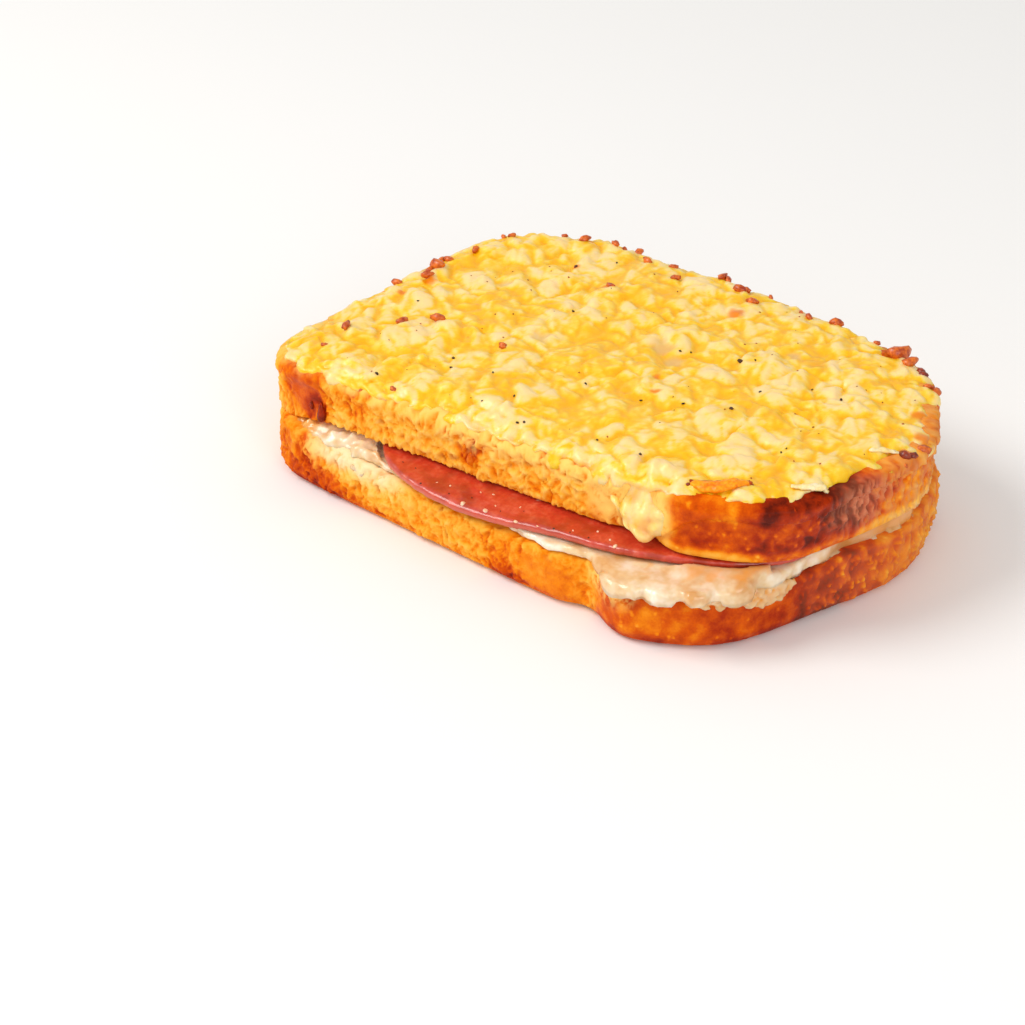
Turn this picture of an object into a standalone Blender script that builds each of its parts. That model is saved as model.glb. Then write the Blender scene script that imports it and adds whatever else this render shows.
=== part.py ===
"""Croque monsieur: two slices of a tin loaf with bechamel and ham between them, and melted cheese on top.

Metres, +Z up. +X runs from the loaf's base crust to its risen crown, and -Y is the side where the ham
leans out. The sandwich rests on its toasted underside, with the origin below the middle of its box.
"""

import math

import bmesh
import bpy
import numpy as np
from mathutils import Vector, noise

# The loaf: a slice is its section, the corners of a tin-shaped body with its crown, each with its
# rounding. Every corner is (x, y, radius), from the front of the base crust round by the crown. Each
# slice was cut and pressed a little differently, so each has its own.
LOWER_CORNERS = (
    (-0.0750, -0.0446, 0.0160),  # base crust, front
    (0.0205, -0.0492, 0.0040),  # waist, where the wall meets the risen crown
    (0.0250, -0.0455, 0.0030),
    (0.0372, -0.0530, 0.0105),  # front lobe of the crown
    (0.0586, -0.0424, 0.0260),
    (0.0756, 0.0075, 0.0320),  # top of the crown
    (0.0665, 0.0370, 0.0210),
    (0.0455, 0.0480, 0.0250),  # back lobe
    (-0.0725, 0.0505, 0.0240),  # base crust, back
)
UPPER_CORNERS = (
    (-0.0752, -0.0426, 0.0120),
    (0.0275, -0.0398, 0.0050),
    (0.0330, -0.0358, 0.0030),
    (0.0425, -0.0415, 0.0090),
    (0.0660, -0.0325, 0.0210),
    (0.0768, 0.0110, 0.0220),
    (0.0600, 0.0386, 0.0240),
    (0.0435, 0.0450, 0.0250),
    (0.0080, 0.0520, 0.0600),
    (-0.0703, 0.0560, 0.0300),
)

# Heights
LOWER_THICKNESS = 0.0130
UPPER_THICKNESS_BASE_END = 0.0109
UPPER_THICKNESS_CROWN_END = 0.0132
FILLING_BASE_END = 0.0039  # space between the slices at the base crust
FILLING_CROWN_END = 0.0065
HALF_LENGTH = 0.0750  # from the middle to either of those ends
GAP = 0.0003  # what two neighbouring solids keep between them

# Ham: one oval slice, turned a little, leaning out at the front and drooping over the lower slice
HAM_MIDDLE = (0.0090, -0.0047)
HAM_HALF_LENGTH = 0.0564
HAM_HALF_WIDTH = 0.0428
HAM_TURN = math.radians(8.8)
HAM_SQUARENESS = 3.2
HAM_THICKNESS = 0.0019
HAM_DROOP = 0.0018
HAM_DROOP_FROM = -0.0390
HAM_FRONT = -0.0500
HAM_RIPPLE = 0.0003
HAM_RIPPLES = 9

# Bechamel: stops short of the lower slice's rim, except where it runs out at the crown
SAUCE_INSET = 0.0014
SAUCE_SPILL = 0.0024  # how much further it runs out below the crown
SAUCE_SPILL_ANGLE = math.radians(-45)
SAUCE_SPILL_SPREAD = 0.30
SAUCE_LOBES = 13
SAUCE_LOBE_GROUPS = 4
SAUCE_LOBE_DEPTH = 0.0006
SAUCE_SLUMP = 0.0026  # how much its uncovered rim sinks
SAUCE_SLUMP_LENGTH = 0.0060

# Cheese: a lumpy sheet over the upper slice, with runs down its side
CHEESE_THICKNESS = 0.0042  # of the highest lumps
CHEESE_RIM_SHARE = 0.18  # of that thickness at the rim
CHEESE_EDGE_SHARE = 0.14  # of that thickness at the lower edge of the runs
CHEESE_RIM_WIDTH = 0.0080
CHEESE_LUMP_SIZE = 0.0095
CHEESE_LUMP_DEPTH = 0.28  # of that thickness, below the highest lumps on average
CHEESE_FALL = 0.0022  # how far it hangs down the side all round
CHEESE_RUNS = (  # where it ran: direction from the middle in degrees, half width, how far down
    {"towards": -47.5, "half_width": 0.0056, "fall": 0.0118},
    {"towards": -112.0, "half_width": 0.0110, "fall": 0.0038},
    {"towards": -20.0, "half_width": 0.0090, "fall": 0.0034},
    {"towards": 74.0, "half_width": 0.0090, "fall": 0.0056},
    {"towards": 163.0, "half_width": 0.0090, "fall": 0.0044},
)
SKIRT_RINGS = 3

# Crumb and mesh
BREAD_UNEVENNESS = 0.0003
BREAD_BUMP_SIZE = 0.0180
OUTLINE_STEPS = 480
OUTLINE_SMOOTHING = 12
CORNER_STEPS = 12
CORNER_PULL = 0.018  # a turn of one radian draws as many steps to it as this much length
LOWER_ROUNDING = (0.0030, 0.0012)  # of the rim below and of the rim on top
UPPER_ROUNDING = (0.0012, 0.0016)
SAUCE_ROUNDING = (0.0003, 0.0010)
HAM_ROUNDING = (0.0005, 0.0005)
BED_ROUNDING = (0.0002, 0.0002)
ROUNDING_STEPS = 2
FLAT_FROM = 0.8  # a face this upright in its normal belongs to the top or the underside
WALL_BELOW = 0.3  # and one with less than this to the wall
SHARP_ANGLE = math.radians(50)
LOWER_CELLS = 15  # along each side of the grid that a slab is spread from
UPPER_CELLS = 20  # the cheese has the same, so that the two keep their gap all round
SAUCE_CELLS = 16
HAM_CELLS = 14
SEED_OFFSET = Vector((3.1, 7.4, 1.9))  # moves the random heights, so that no two faces share theirs


def fillet(before, corner, after, radius):
    """The arc that rounds a corner between its two neighbours."""
    corner = Vector(corner)
    back, ahead = (Vector(before) - corner).normalized(), (Vector(after) - corner).normalized()
    half = back.angle(ahead) / 2
    middle = corner + (back + ahead).normalized() * radius / math.sin(half)
    start = corner + back * radius / math.tan(half) - middle
    end = corner + ahead * radius / math.tan(half) - middle
    turn = math.atan2(start.cross(end), start.dot(end))
    points = []
    for step in range(CORNER_STEPS):
        angle = math.atan2(start.y, start.x) + turn * step / (CORNER_STEPS - 1)
        points.append((middle.x + radius * math.cos(angle), middle.y + radius * math.sin(angle)))
    return points


def evenly(points, count, corner_pull=0.0):
    """The closed line through the points, as this many points in even steps, closer where it turns."""
    closed = np.vstack([points, points[:1]])
    steps = np.diff(closed, axis=0)
    headings = np.unwrap(np.arctan2(steps[:, 1], steps[:, 0]))
    bends = np.abs(np.diff(headings, prepend=headings[-1] - 2 * math.pi))
    bends = (bends + np.roll(bends, -1)) / 2
    along = np.r_[0, np.cumsum(np.hypot(steps[:, 0], steps[:, 1]) + corner_pull * bends)]
    stops = np.linspace(0, along[-1], count, endpoint=False)
    return np.column_stack([np.interp(stops, along, closed[:, axis]) for axis in (0, 1)])


class Outline:
    """A closed line, counterclockwise round the origin."""

    def __init__(self, points):
        points = evenly(points, OUTLINE_STEPS, CORNER_PULL)
        first = np.argmin(np.abs(np.arctan2(points[:, 1], points[:, 0])))
        self.points = np.roll(points, -first, axis=0)
        along = np.roll(self.points, -1, 0) - np.roll(self.points, 1, 0)
        along /= np.linalg.norm(along, axis=1)[:, None]
        self.outward = np.column_stack([along[:, 1], -along[:, 0]])
        self.places = np.arange(OUTLINE_STEPS) / OUTLINE_STEPS
        turns = np.arctan2(self.points[:, 1], self.points[:, 0])
        order = np.argsort(turns)
        self.turns = turns[order]
        self.radii = np.hypot(self.points[:, 0], self.points[:, 1])[order]

    def point(self, share, place, grow=0.0):
        """The point at this share of the way from the origin to the line, moved out by grow."""
        grown = self.points + grow * self.outward
        return [share * float(np.interp(place, self.places, grown[:, axis], period=1.0)) for axis in (0, 1)]

    def radius(self, turn):
        """How far the line is from the origin in this direction."""
        return float(np.interp(turn, self.turns, self.radii, period=2 * math.pi))

    def depth(self, x, y):
        """How far inside the line the point lies, along the ray from the origin."""
        return self.radius(math.atan2(y, x)) - math.hypot(x, y)


def loaf_outline(corners):
    """The section of the loaf, from its corners."""
    points = []
    for index, (x, y, radius) in enumerate(corners):
        before, after = corners[index - 1], corners[(index + 1) % len(corners)]
        points += fillet(before[:2], (x, y), after[:2], radius)
    points = evenly(np.array(points), OUTLINE_STEPS)
    for _ in range(OUTLINE_SMOOTHING):
        points = (np.roll(points, 1, 0) + 2 * points + np.roll(points, -1, 0)) / 4
    return Outline(points)


def ham_outline():
    """A squarish oval, turned a little, with a slightly rippled edge."""
    points = []
    for turn in np.linspace(0, 2 * math.pi, OUTLINE_STEPS, endpoint=False):
        across = abs(math.cos(turn) / HAM_HALF_LENGTH) ** HAM_SQUARENESS
        across += abs(math.sin(turn) / HAM_HALF_WIDTH) ** HAM_SQUARENESS
        radius = across ** (-1 / HAM_SQUARENESS) + HAM_RIPPLE * math.sin(HAM_RIPPLES * turn)
        x, y = radius * math.cos(turn + HAM_TURN), radius * math.sin(turn + HAM_TURN)
        points.append((HAM_MIDDLE[0] + x, HAM_MIDDLE[1] + y))
    return Outline(np.array(points))


def sauce_outline(slice_line):
    """The lower slice's line drawn in, with a wavy edge that spills out at the crown."""
    points = []
    for point, outward in zip(slice_line.points, slice_line.outward):
        turn = math.atan2(point[1], point[0])
        off_spill = (turn - SAUCE_SPILL_ANGLE) / SAUCE_SPILL_SPREAD
        spill = SAUCE_SPILL * math.exp(-off_spill * off_spill)
        wave = SAUCE_LOBE_DEPTH * math.sin(SAUCE_LOBES * turn) * math.cos(SAUCE_LOBE_GROUPS * turn)
        points.append(point + (spill + wave - SAUCE_INSET) * outward)
    return Outline(np.array(points))


def smoothstep(value):
    value = min(max(value, 0.0), 1.0)
    return value * value * (3 - 2 * value)


def unevenness(x, y, size, seed):
    """A smooth random height from about -1 to 1 whose bumps are this far apart."""
    return noise.noise(Vector((x / size, y / size, 0.0)) + seed * SEED_OFFSET)


def lower_top(x, y):
    return LOWER_THICKNESS + BREAD_UNEVENNESS * unevenness(x, y, BREAD_BUMP_SIZE, 1)


def between_ends(x, base_end, crown_end):
    return base_end + (crown_end - base_end) * (x + HALF_LENGTH) / (2 * HALF_LENGTH)


def upper_underside(x, y):
    """The upper slice's lower face, tilted up towards the crown."""
    return LOWER_THICKNESS + between_ends(x, FILLING_BASE_END, FILLING_CROWN_END)


def upper_top(x, y):
    """The upper slice swells towards its crown."""
    thickness = between_ends(x, UPPER_THICKNESS_BASE_END, UPPER_THICKNESS_CROWN_END)
    return upper_underside(x, y) + thickness + BREAD_UNEVENNESS * unevenness(x, y, BREAD_BUMP_SIZE, 2)


def ham_top(x, y):
    """Close under the upper slice, and bending down where it leans out at the front."""
    out = max(0.0, (y - HAM_DROOP_FROM) / (HAM_FRONT - HAM_DROOP_FROM))
    return upper_underside(x, y) - GAP - HAM_DROOP * out * out


def ham_underside(x, y):
    return ham_top(x, y) - HAM_THICKNESS


def cheese_share(upper_line, x, y):
    """The sheet's thickness there, as a share of the highest lumps'."""
    inner = smoothstep(upper_line.depth(x, y) / CHEESE_RIM_WIDTH)
    lumpy = 1.0 - CHEESE_LUMP_DEPTH * (1.0 + unevenness(x, y, CHEESE_LUMP_SIZE, 3))
    return CHEESE_RIM_SHARE + (lumpy - CHEESE_RIM_SHARE) * inner


def cheese_fall(upper_line, turn):
    """How far the sheet hangs down the side in this direction."""
    fall = CHEESE_FALL
    for run in CHEESE_RUNS:
        away = math.remainder(turn - math.radians(run["towards"]), 2 * math.pi)
        off = away * upper_line.radius(turn) / run["half_width"]
        fall = max(fall, CHEESE_FALL + (run["fall"] - CHEESE_FALL) * math.exp(-off * off))
    return fall


def material(name, colour, roughness):
    made = bpy.data.materials.new(name)
    made.use_nodes = True
    shader = made.node_tree.nodes["Principled BSDF"]
    shader.inputs["Base Color"].default_value = (*colour, 1.0)
    shader.inputs["Roughness"].default_value = roughness
    shader.inputs["Metallic"].default_value = 0.0
    return made


def ring_place(a, b):
    """For a point of a square grid from -1 to 1, the size of its ring and its place round that ring."""
    if abs(a) < 1e-9 and abs(b) < 1e-9:
        return 0.0, 0.0
    if abs(a) > abs(b):
        return abs(a), b / a / 8 + (0.5 if a < 0 else 0.0)
    return abs(b), 0.25 - a / b / 8 + (0.5 if b < 0 else 0.0)


def outline_grid(line, cells, grow=0.0):
    """A flat grid of faces, spread to fill the outline moved out by grow."""
    mesh = bmesh.new()
    bmesh.ops.create_grid(mesh, x_segments=cells, y_segments=cells, size=1.0)
    for vertex in mesh.verts:
        share, place = ring_place(vertex.co.x, vertex.co.y)
        vertex.co.x, vertex.co.y = line.point(share, place, grow)
    return mesh


def add_object(name, mesh, finish, collection):
    bmesh.ops.recalc_face_normals(mesh, faces=mesh.faces)
    data = bpy.data.meshes.new(name)
    mesh.to_mesh(data)
    mesh.free()
    data.materials.append(finish)
    data.shade_smooth()
    data.set_sharp_from_angle(angle=SHARP_ANGLE)
    made = bpy.data.objects.new(name, data)
    collection.objects.link(made)
    return made


def slab(name, line, underside, top, cells, rounding, finish, collection, grow=0.0):
    """A closed slab inside the outline, between two height functions, with both rims rounded."""
    mesh = outline_grid(line, cells, grow)
    lower_faces = mesh.faces[:]
    for vertex in mesh.verts:
        vertex.co.z = underside(vertex.co.x, vertex.co.y)
    made = bmesh.ops.extrude_face_region(mesh, geom=lower_faces, use_keep_orig=True)["geom"]
    for vertex in made:
        if isinstance(vertex, bmesh.types.BMVert):
            vertex.co.z = top(vertex.co.x, vertex.co.y)
    bmesh.ops.recalc_face_normals(mesh, faces=mesh.faces)
    mesh.normal_update()
    for radius, upwards in zip(rounding, (-1, 1)):
        rim = [edge for edge in mesh.edges if is_rim(edge, upwards)]
        bmesh.ops.bevel(
            mesh, geom=rim, offset=radius, segments=ROUNDING_STEPS, affect="EDGES", profile=0.5, material=-1
        )
    return add_object(name, mesh, finish, collection)


def is_rim(edge, upwards):
    """Whether the edge joins a wall face to the top (upwards 1) or to the underside (upwards -1)."""
    slopes = sorted(face.normal.z * upwards for face in edge.link_faces)
    return len(slopes) == 2 and slopes[1] > FLAT_FROM and slopes[0] < WALL_BELOW


def cheese_sheet(upper_line, finish, collection):
    """A sheet just off the upper slice with a skirt down its side, thickened outwards."""
    mesh = outline_grid(upper_line, UPPER_CELLS, grow=GAP)
    for vertex in mesh.verts:
        vertex.co.z = upper_top(vertex.co.x, vertex.co.y) + GAP
    rim = [edge for edge in mesh.edges if edge.is_boundary]
    for ring in range(SKIRT_RINGS):
        made = bmesh.ops.extrude_edge_only(mesh, edges=rim)["geom"]
        for vertex in made:
            if isinstance(vertex, bmesh.types.BMVert):
                turn = math.atan2(vertex.co.y, vertex.co.x)
                vertex.co.z -= cheese_fall(upper_line, turn) / SKIRT_RINGS
        rim = [edge for edge in made if isinstance(edge, bmesh.types.BMEdge)]
    shares = [cheese_vertex_share(upper_line, vertex) for vertex in mesh.verts]
    sheet = add_object("cheese_topping", mesh, finish, collection)
    thickness = sheet.vertex_groups.new(name="thickness")
    for index, share in enumerate(shares):
        thickness.add([index], share, "REPLACE")
    shell = sheet.modifiers.new("Thickness", "SOLIDIFY")
    shell.thickness = CHEESE_THICKNESS
    shell.offset = 1.0
    shell.vertex_group = thickness.name
    return sheet


def cheese_vertex_share(upper_line, vertex):
    """Thickness on the flat from its lumps, and thinner the further down the skirt it is."""
    below = upper_top(vertex.co.x, vertex.co.y) + GAP - vertex.co.z
    if below < GAP / 2:
        return cheese_share(upper_line, vertex.co.x, vertex.co.y)
    turn = math.atan2(vertex.co.y, vertex.co.x)
    down = below / cheese_fall(upper_line, turn)
    return CHEESE_RIM_SHARE + (CHEESE_EDGE_SHARE - CHEESE_RIM_SHARE) * down


def centre_on_origin(objects):
    """Moves everything so that the origin is below the middle of the box, on the surface it rests on."""
    bpy.context.view_layer.update()
    graph = bpy.context.evaluated_depsgraph_get()
    corners = [
        made.matrix_world @ Vector(corner) for made in objects for corner in made.evaluated_get(graph).bound_box
    ]
    low = [min(corner[axis] for corner in corners) for axis in range(3)]
    high = [max(corner[axis] for corner in corners) for axis in range(3)]
    shift = Vector(((low[0] + high[0]) / 2, (low[1] + high[1]) / 2, low[2]))
    for made in bpy.data.objects:
        made.location -= shift


def main():
    for old in list(bpy.data.objects):
        bpy.data.objects.remove(old)
    collection = bpy.data.collections.new("croque_monsieur")
    bpy.context.scene.collection.children.link(collection)
    cutters = bpy.data.collections.new("cutters")
    bpy.context.scene.collection.children.link(cutters)

    crust = material("toasted_crust", (0.62, 0.30, 0.07), 0.6)
    ham_pink = material("cooked_ham", (0.62, 0.16, 0.13), 0.35)
    sauce_white = material("bechamel", (0.86, 0.78, 0.62), 0.3)
    cheese_gold = material("melted_cheese", (0.86, 0.56, 0.14), 0.35)

    lower_line = loaf_outline(LOWER_CORNERS)
    upper_line = loaf_outline(UPPER_CORNERS)
    sauce_line = sauce_outline(lower_line)
    ham_line = ham_outline()

    def sauce_top(x, y):
        covered = upper_line.depth(x, y) / SAUCE_SLUMP_LENGTH
        return upper_underside(x, y) - GAP - SAUCE_SLUMP * smoothstep(-covered)

    lower = slab(
        "bread_lower", lower_line, lambda x, y: 0.0, lower_top, LOWER_CELLS, LOWER_ROUNDING, crust, collection
    )
    upper = slab(
        "bread_upper", upper_line, upper_underside, upper_top, UPPER_CELLS, UPPER_ROUNDING, crust, collection
    )
    sauce = slab(
        "bechamel",
        sauce_line,
        lambda x, y: lower_top(x, y) + GAP,
        sauce_top,
        SAUCE_CELLS,
        SAUCE_ROUNDING,
        sauce_white,
        collection,
    )
    ham = slab("ham", ham_line, ham_underside, ham_top, HAM_CELLS, HAM_ROUNDING, ham_pink, collection)
    recess = slab(
        "ham_recess",
        ham_line,
        lambda x, y: ham_underside(x, y) - GAP,
        lambda x, y: ham_top(x, y) + HAM_THICKNESS,
        HAM_CELLS,
        BED_ROUNDING,
        ham_pink,
        cutters,
        grow=2 * GAP,
    )
    recess.hide_render = True
    recess.display_type = "WIRE"
    bed = sauce.modifiers.new("Ham bed", "BOOLEAN")
    bed.operation = "DIFFERENCE"
    bed.object = recess

    cheese = cheese_sheet(upper_line, cheese_gold, collection)
    centre_on_origin([lower, upper, sauce, ham, cheese])


main()
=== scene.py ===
import itertools
import math
import random

import bmesh
import bpy
import numpy as np
from mathutils import Matrix, Vector
from mathutils.bvhtree import BVHTree
from mathutils.kdtree import KDTree


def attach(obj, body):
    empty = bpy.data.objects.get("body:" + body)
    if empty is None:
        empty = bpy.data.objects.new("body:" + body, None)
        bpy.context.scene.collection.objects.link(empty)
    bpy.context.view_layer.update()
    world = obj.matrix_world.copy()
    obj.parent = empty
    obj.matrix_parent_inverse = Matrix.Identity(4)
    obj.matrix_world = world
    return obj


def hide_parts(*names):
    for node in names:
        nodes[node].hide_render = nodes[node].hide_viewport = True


# Croque monsieur: two slices of bread round ham and bechamel, under melted grated cheese.
# Shapes are worked in millimetres and kept in metres.

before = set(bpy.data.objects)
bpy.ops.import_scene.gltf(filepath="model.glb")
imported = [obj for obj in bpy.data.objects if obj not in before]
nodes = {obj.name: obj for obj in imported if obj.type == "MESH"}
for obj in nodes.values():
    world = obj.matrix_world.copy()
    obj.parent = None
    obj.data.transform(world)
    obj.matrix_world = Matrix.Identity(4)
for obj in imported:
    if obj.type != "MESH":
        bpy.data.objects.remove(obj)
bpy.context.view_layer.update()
scene = bpy.context.scene
mm = 0.001
print("frame loaded:", ", ".join(sorted(nodes)))


def smoothStep(low, high, value):
    share = np.clip((np.asarray(value, float) - low) / (high - low), 0, 1)
    return share * share * (3 - 2 * share)


def hashOf(cell, seed):
    # one whole number for each lattice cell
    mixed = cell[:, 0] * 73856093 ^ cell[:, 1] * 19349663 ^ cell[:, 2] * 83492791 ^ seed * 97531
    mixed = (mixed ^ mixed >> 15) * 2246822519 & 0xFFFFFFFF
    mixed = (mixed ^ mixed >> 13) * 3266489917 & 0xFFFFFFFF
    return mixed ^ mixed >> 16


def threeShares(mixed):
    return np.stack([mixed & 1023, mixed >> 10 & 1023, mixed >> 20 & 1023], axis=1) / 1023


def softNoise(points, size, seed):
    # smooth noise from about -1 to 1, its lumps as wide as size
    places = points / np.asarray(size, float)
    corner = np.floor(places).astype(np.int64)
    part = places - corner
    ease = part ** 3 * (part * (part * 6 - 15) + 10)
    total = np.zeros(len(points))
    for step in itertools.product((0, 1), repeat=3):
        slope = threeShares(hashOf(corner + step, seed)) * 2 - 1
        weight = np.prod(np.where(step, ease, 1 - ease), axis=1)
        total += weight * ((part - step) * slope).sum(axis=1)
    return total * 1.7


def ridges(points, size, seed):
    # 1 along thin crests, falling to about 0 between them
    return 1 - np.clip(np.abs(softNoise(points, size, seed)) * 2.2, 0, 1)


def cells(points, size, seed):
    # distance to the nearest scattered point in cell sizes, to the next one, and a share for the nearest
    places = points / np.asarray(size, float)
    home = np.floor(places).astype(np.int64)
    first = np.full(len(points), 9.0)
    second = np.full(len(points), 9.0)
    pick = np.zeros(len(points))
    for step in itertools.product((-1, 0, 1), repeat=3):
        cell = home + step
        mixed = hashOf(cell, seed)
        reach = np.linalg.norm(places - cell - threeShares(mixed), axis=1)
        closer = reach < first
        second = np.where(closer, first, np.minimum(second, reach))
        pick = np.where(closer, (mixed >> 5 & 255) / 255, pick)
        first = np.where(closer, reach, first)
    return first, second, pick


def patch(points, centre, reach):
    # 1 in the middle of a soft-edged ellipsoid, 0 outside it
    far = np.linalg.norm((points - np.array(centre, float)) / np.array(reach, float), axis=1)
    return 1 - smoothStep(0.35, 1.0, far)


def newPiece(pieceName, bm):
    mesh = bpy.data.meshes.new(pieceName)
    bm.to_mesh(mesh)
    bm.free()
    piece = bpy.data.objects.new(pieceName, mesh)
    scene.collection.objects.link(piece)
    return piece


def mergedCopy(nodeName):
    bm = bmesh.new()
    bm.from_mesh(nodes[nodeName].data)
    bmesh.ops.remove_doubles(bm, verts=bm.verts, dist=1e-5)
    return bm


def applyModifiers(piece):
    graph = bpy.context.evaluated_depsgraph_get()
    made = bpy.data.meshes.new_from_object(piece.evaluated_get(graph))
    piece.modifiers.clear()
    piece.data = made


def meltFacets(piece, rounds):
    smooth = piece.modifiers.new("melt", "SMOOTH")
    smooth.factor = 0.5
    smooth.iterations = rounds
    applyModifiers(piece)


def evenSkin(piece, grid, rounds):
    # the same form on an even grid, its flat facets melted away
    remesh = piece.modifiers.new("grid", "REMESH")
    remesh.mode = "VOXEL"
    remesh.voxel_size = grid * mm
    meltFacets(piece, rounds)


def pointsOf(piece):
    found = np.empty(len(piece.data.vertices) * 3, np.float32)
    piece.data.vertices.foreach_get("co", found)
    return found.reshape(-1, 3).astype(float) / mm


def normalsOf(piece):
    found = np.empty(len(piece.data.vertices) * 3, np.float32)
    piece.data.vertex_normals.foreach_get("vector", found)
    return found.reshape(-1, 3).astype(float)


def movePoints(piece, points):
    piece.data.vertices.foreach_set("co", (points * mm).astype(np.float32).ravel())
    piece.data.update()


def keepMask(piece, maskName, values):
    mask = piece.data.attributes.new(maskName, "FLOAT", "POINT")
    mask.data.foreach_set("value", np.clip(values, 0, 1).astype(np.float32))


def refine(piece, wanted, rounds):
    # splits the faces whose corners are all wanted, and eases the new points
    bm = bmesh.new()
    bm.from_mesh(piece.data)
    bm.verts.ensure_lookup_table()
    edges = [e for e in bm.edges if wanted[e.verts[0].index] and wanted[e.verts[1].index]]
    bmesh.ops.subdivide_edges(bm, edges=edges, cuts=1, use_grid_fill=True)
    bm.to_mesh(piece.data)
    bm.free()
    meltFacets(piece, rounds)


def strand(bm, path, widths, sides, flat=(1.0, 1.0)):
    # a closed tube along the path, as wide as given at each of its points
    spots = [Vector(spot) * mm for spot in path]
    rings = []
    for number, spot in enumerate(spots):
        ahead = spots[min(number + 1, len(spots) - 1)] - spots[max(number - 1, 0)]
        turn = ahead.to_track_quat("Z", "Y").to_matrix().to_4x4()
        shape = Matrix.Translation(spot) @ turn @ Matrix.Diagonal((*flat, 1, 1))
        ring = bmesh.ops.create_circle(bm, segments=sides, radius=widths[number] * mm, matrix=shape)["verts"]
        rings.append(list({edge for vert in ring for edge in vert.link_edges}))
    skin = []
    for first, second in zip(rings[:-1], rings[1:]):
        skin += bmesh.ops.bridge_loops(bm, edges=first + second)["faces"]
    caps = bmesh.ops.holes_fill(bm, edges=rings[0] + rings[-1], sides=sides)["faces"]
    bmesh.ops.recalc_face_normals(bm, faces=skin + caps)


def lump(bm, spot, radius, stretch, chooser, detail, rough):
    # a small uneven crumb, its half width given as radius
    turn = Matrix.Rotation(chooser.uniform(0, math.tau), 4, "Z")
    turn = turn @ Matrix.Rotation(chooser.uniform(0, 1.5), 4, "X")
    shape = Matrix.Translation(Vector(spot) * mm) @ turn @ Matrix.Diagonal((*stretch, 1))
    made = bmesh.ops.create_icosphere(bm, subdivisions=detail, radius=radius * mm, matrix=shape)["verts"]
    for vert in made:
        vert.co += (vert.co - Vector(spot) * mm) * chooser.uniform(-rough, rough)


def skinTree(bm):
    # a tree of the faces, for rays and nearest points
    tree = BVHTree.FromBMesh(bm)
    bm.free()
    return tree


def treeOf(piece):
    bm = bmesh.new()
    bm.from_mesh(piece.data)
    return skinTree(bm)


def pointTree(points):
    tree = KDTree(len(points))
    for number, point in enumerate(points):
        tree.insert(point, number)
    tree.balance()
    return tree


def land(tree, x, y):
    # where a thing dropped at x, y comes to lie
    spot = tree.ray_cast(Vector((x, y, 60)) * mm, Vector((0, 0, -1)))[0]
    return spot / mm if spot else None


def lean(tree, angle, height):
    # where a level line from outside meets the wall, at an angle round the slice, and the way out there
    outward = Vector((math.cos(math.radians(angle)), math.sin(math.radians(angle)), 0))
    spot, normal = tree.ray_cast(outward * 150 * mm + Vector((0, 0, height * mm)), -outward)[:2]
    return (spot / mm if spot else None), normal


def dropLumps(bm, tree, rows, stretch, chooser, detail, rough, grow=1.0, lift=0.0, sink=0.0):
    # a crumb where each row's x, y comes down, as large as the row says
    for x, y, size in rows:
        spot = land(tree, x, y)
        if spot:
            lump(bm, spot + Vector((0, 0, lift * size - sink)), grow * size, stretch, chooser, detail, rough)


def finishPiece(piece, material, nodeNames=()):
    piece.data.materials.clear()
    piece.data.materials.append(material)
    piece.data.shade_smooth()
    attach(piece, "root")
    if nodeNames:
        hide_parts(*nodeNames)
    piece.data.calc_loop_triangles()
    print(f"{piece.name}: {len(piece.data.loop_triangles)} triangles")


def tone(red, green, blue):
    # a screen colour from 0 to 255 as the linear value that a shader takes
    shares = [((c / 255 + 0.055) / 1.055) ** 2.4 if c > 10 else c / 255 / 12.92 for c in (red, green, blue)]
    return (*shares, 1.0)


def newMaterial(materialName, look):
    material = bpy.data.materials.new(materialName)
    material.use_nodes = True
    tree = material.node_tree
    shader = tree.nodes["Principled BSDF"]
    for socket, value in look.items():
        shader.inputs[socket].default_value = value
    return material, tree, shader


def put(tree, kind, **settings):
    # a node with its settings, then its inputs by name or number: values to set and links to make
    links = settings.pop("links", {})
    values = settings.pop("values", {})
    node = tree.nodes.new(kind)
    for key, value in settings.items():
        setattr(node, key, value)
    for key, value in values.items():
        node.inputs[key].default_value = value
    for key, source in links.items():
        tree.links.new(source, node.inputs[key])
    return node


def maskOf(tree, maskName):
    return put(tree, "ShaderNodeAttribute", attribute_name=maskName).outputs["Fac"]


def objectPlace(tree):
    return put(tree, "ShaderNodeTexCoord").outputs["Object"]


def blendColours(tree, share, first, second):
    node = put(tree, "ShaderNodeMix", data_type="RGBA")
    tree.links.new(share, node.inputs["Factor"])
    for socket, source in ((6, first), (7, second)):
        if isinstance(source, tuple):
            node.inputs[socket].default_value = source
        else:
            tree.links.new(source, node.inputs[socket])
    return node.outputs[2]


def calc(tree, operation, *sources, clamp=False):
    node = put(tree, "ShaderNodeMath", operation=operation, use_clamp=clamp)
    for number, source in enumerate(sources):
        if isinstance(source, (int, float)):
            node.inputs[number].default_value = source
        else:
            tree.links.new(source, node.inputs[number])
    return node.outputs[0]


def swing(tree, value, reach):
    # how far a value round 0.5 lies from its middle, times reach
    return calc(tree, "MULTIPLY", calc(tree, "SUBTRACT", value, 0.5), reach)


def colourRamp(tree, share, stops):
    node = put(tree, "ShaderNodeValToRGB")
    tree.links.new(share, node.inputs["Fac"])
    elements = node.color_ramp.elements
    while len(elements) < len(stops):
        elements.new(0.5)
    for element, (place, colour) in zip(elements, stops):
        element.position = place
        element.color = colour
    return node.outputs["Color"]


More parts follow.
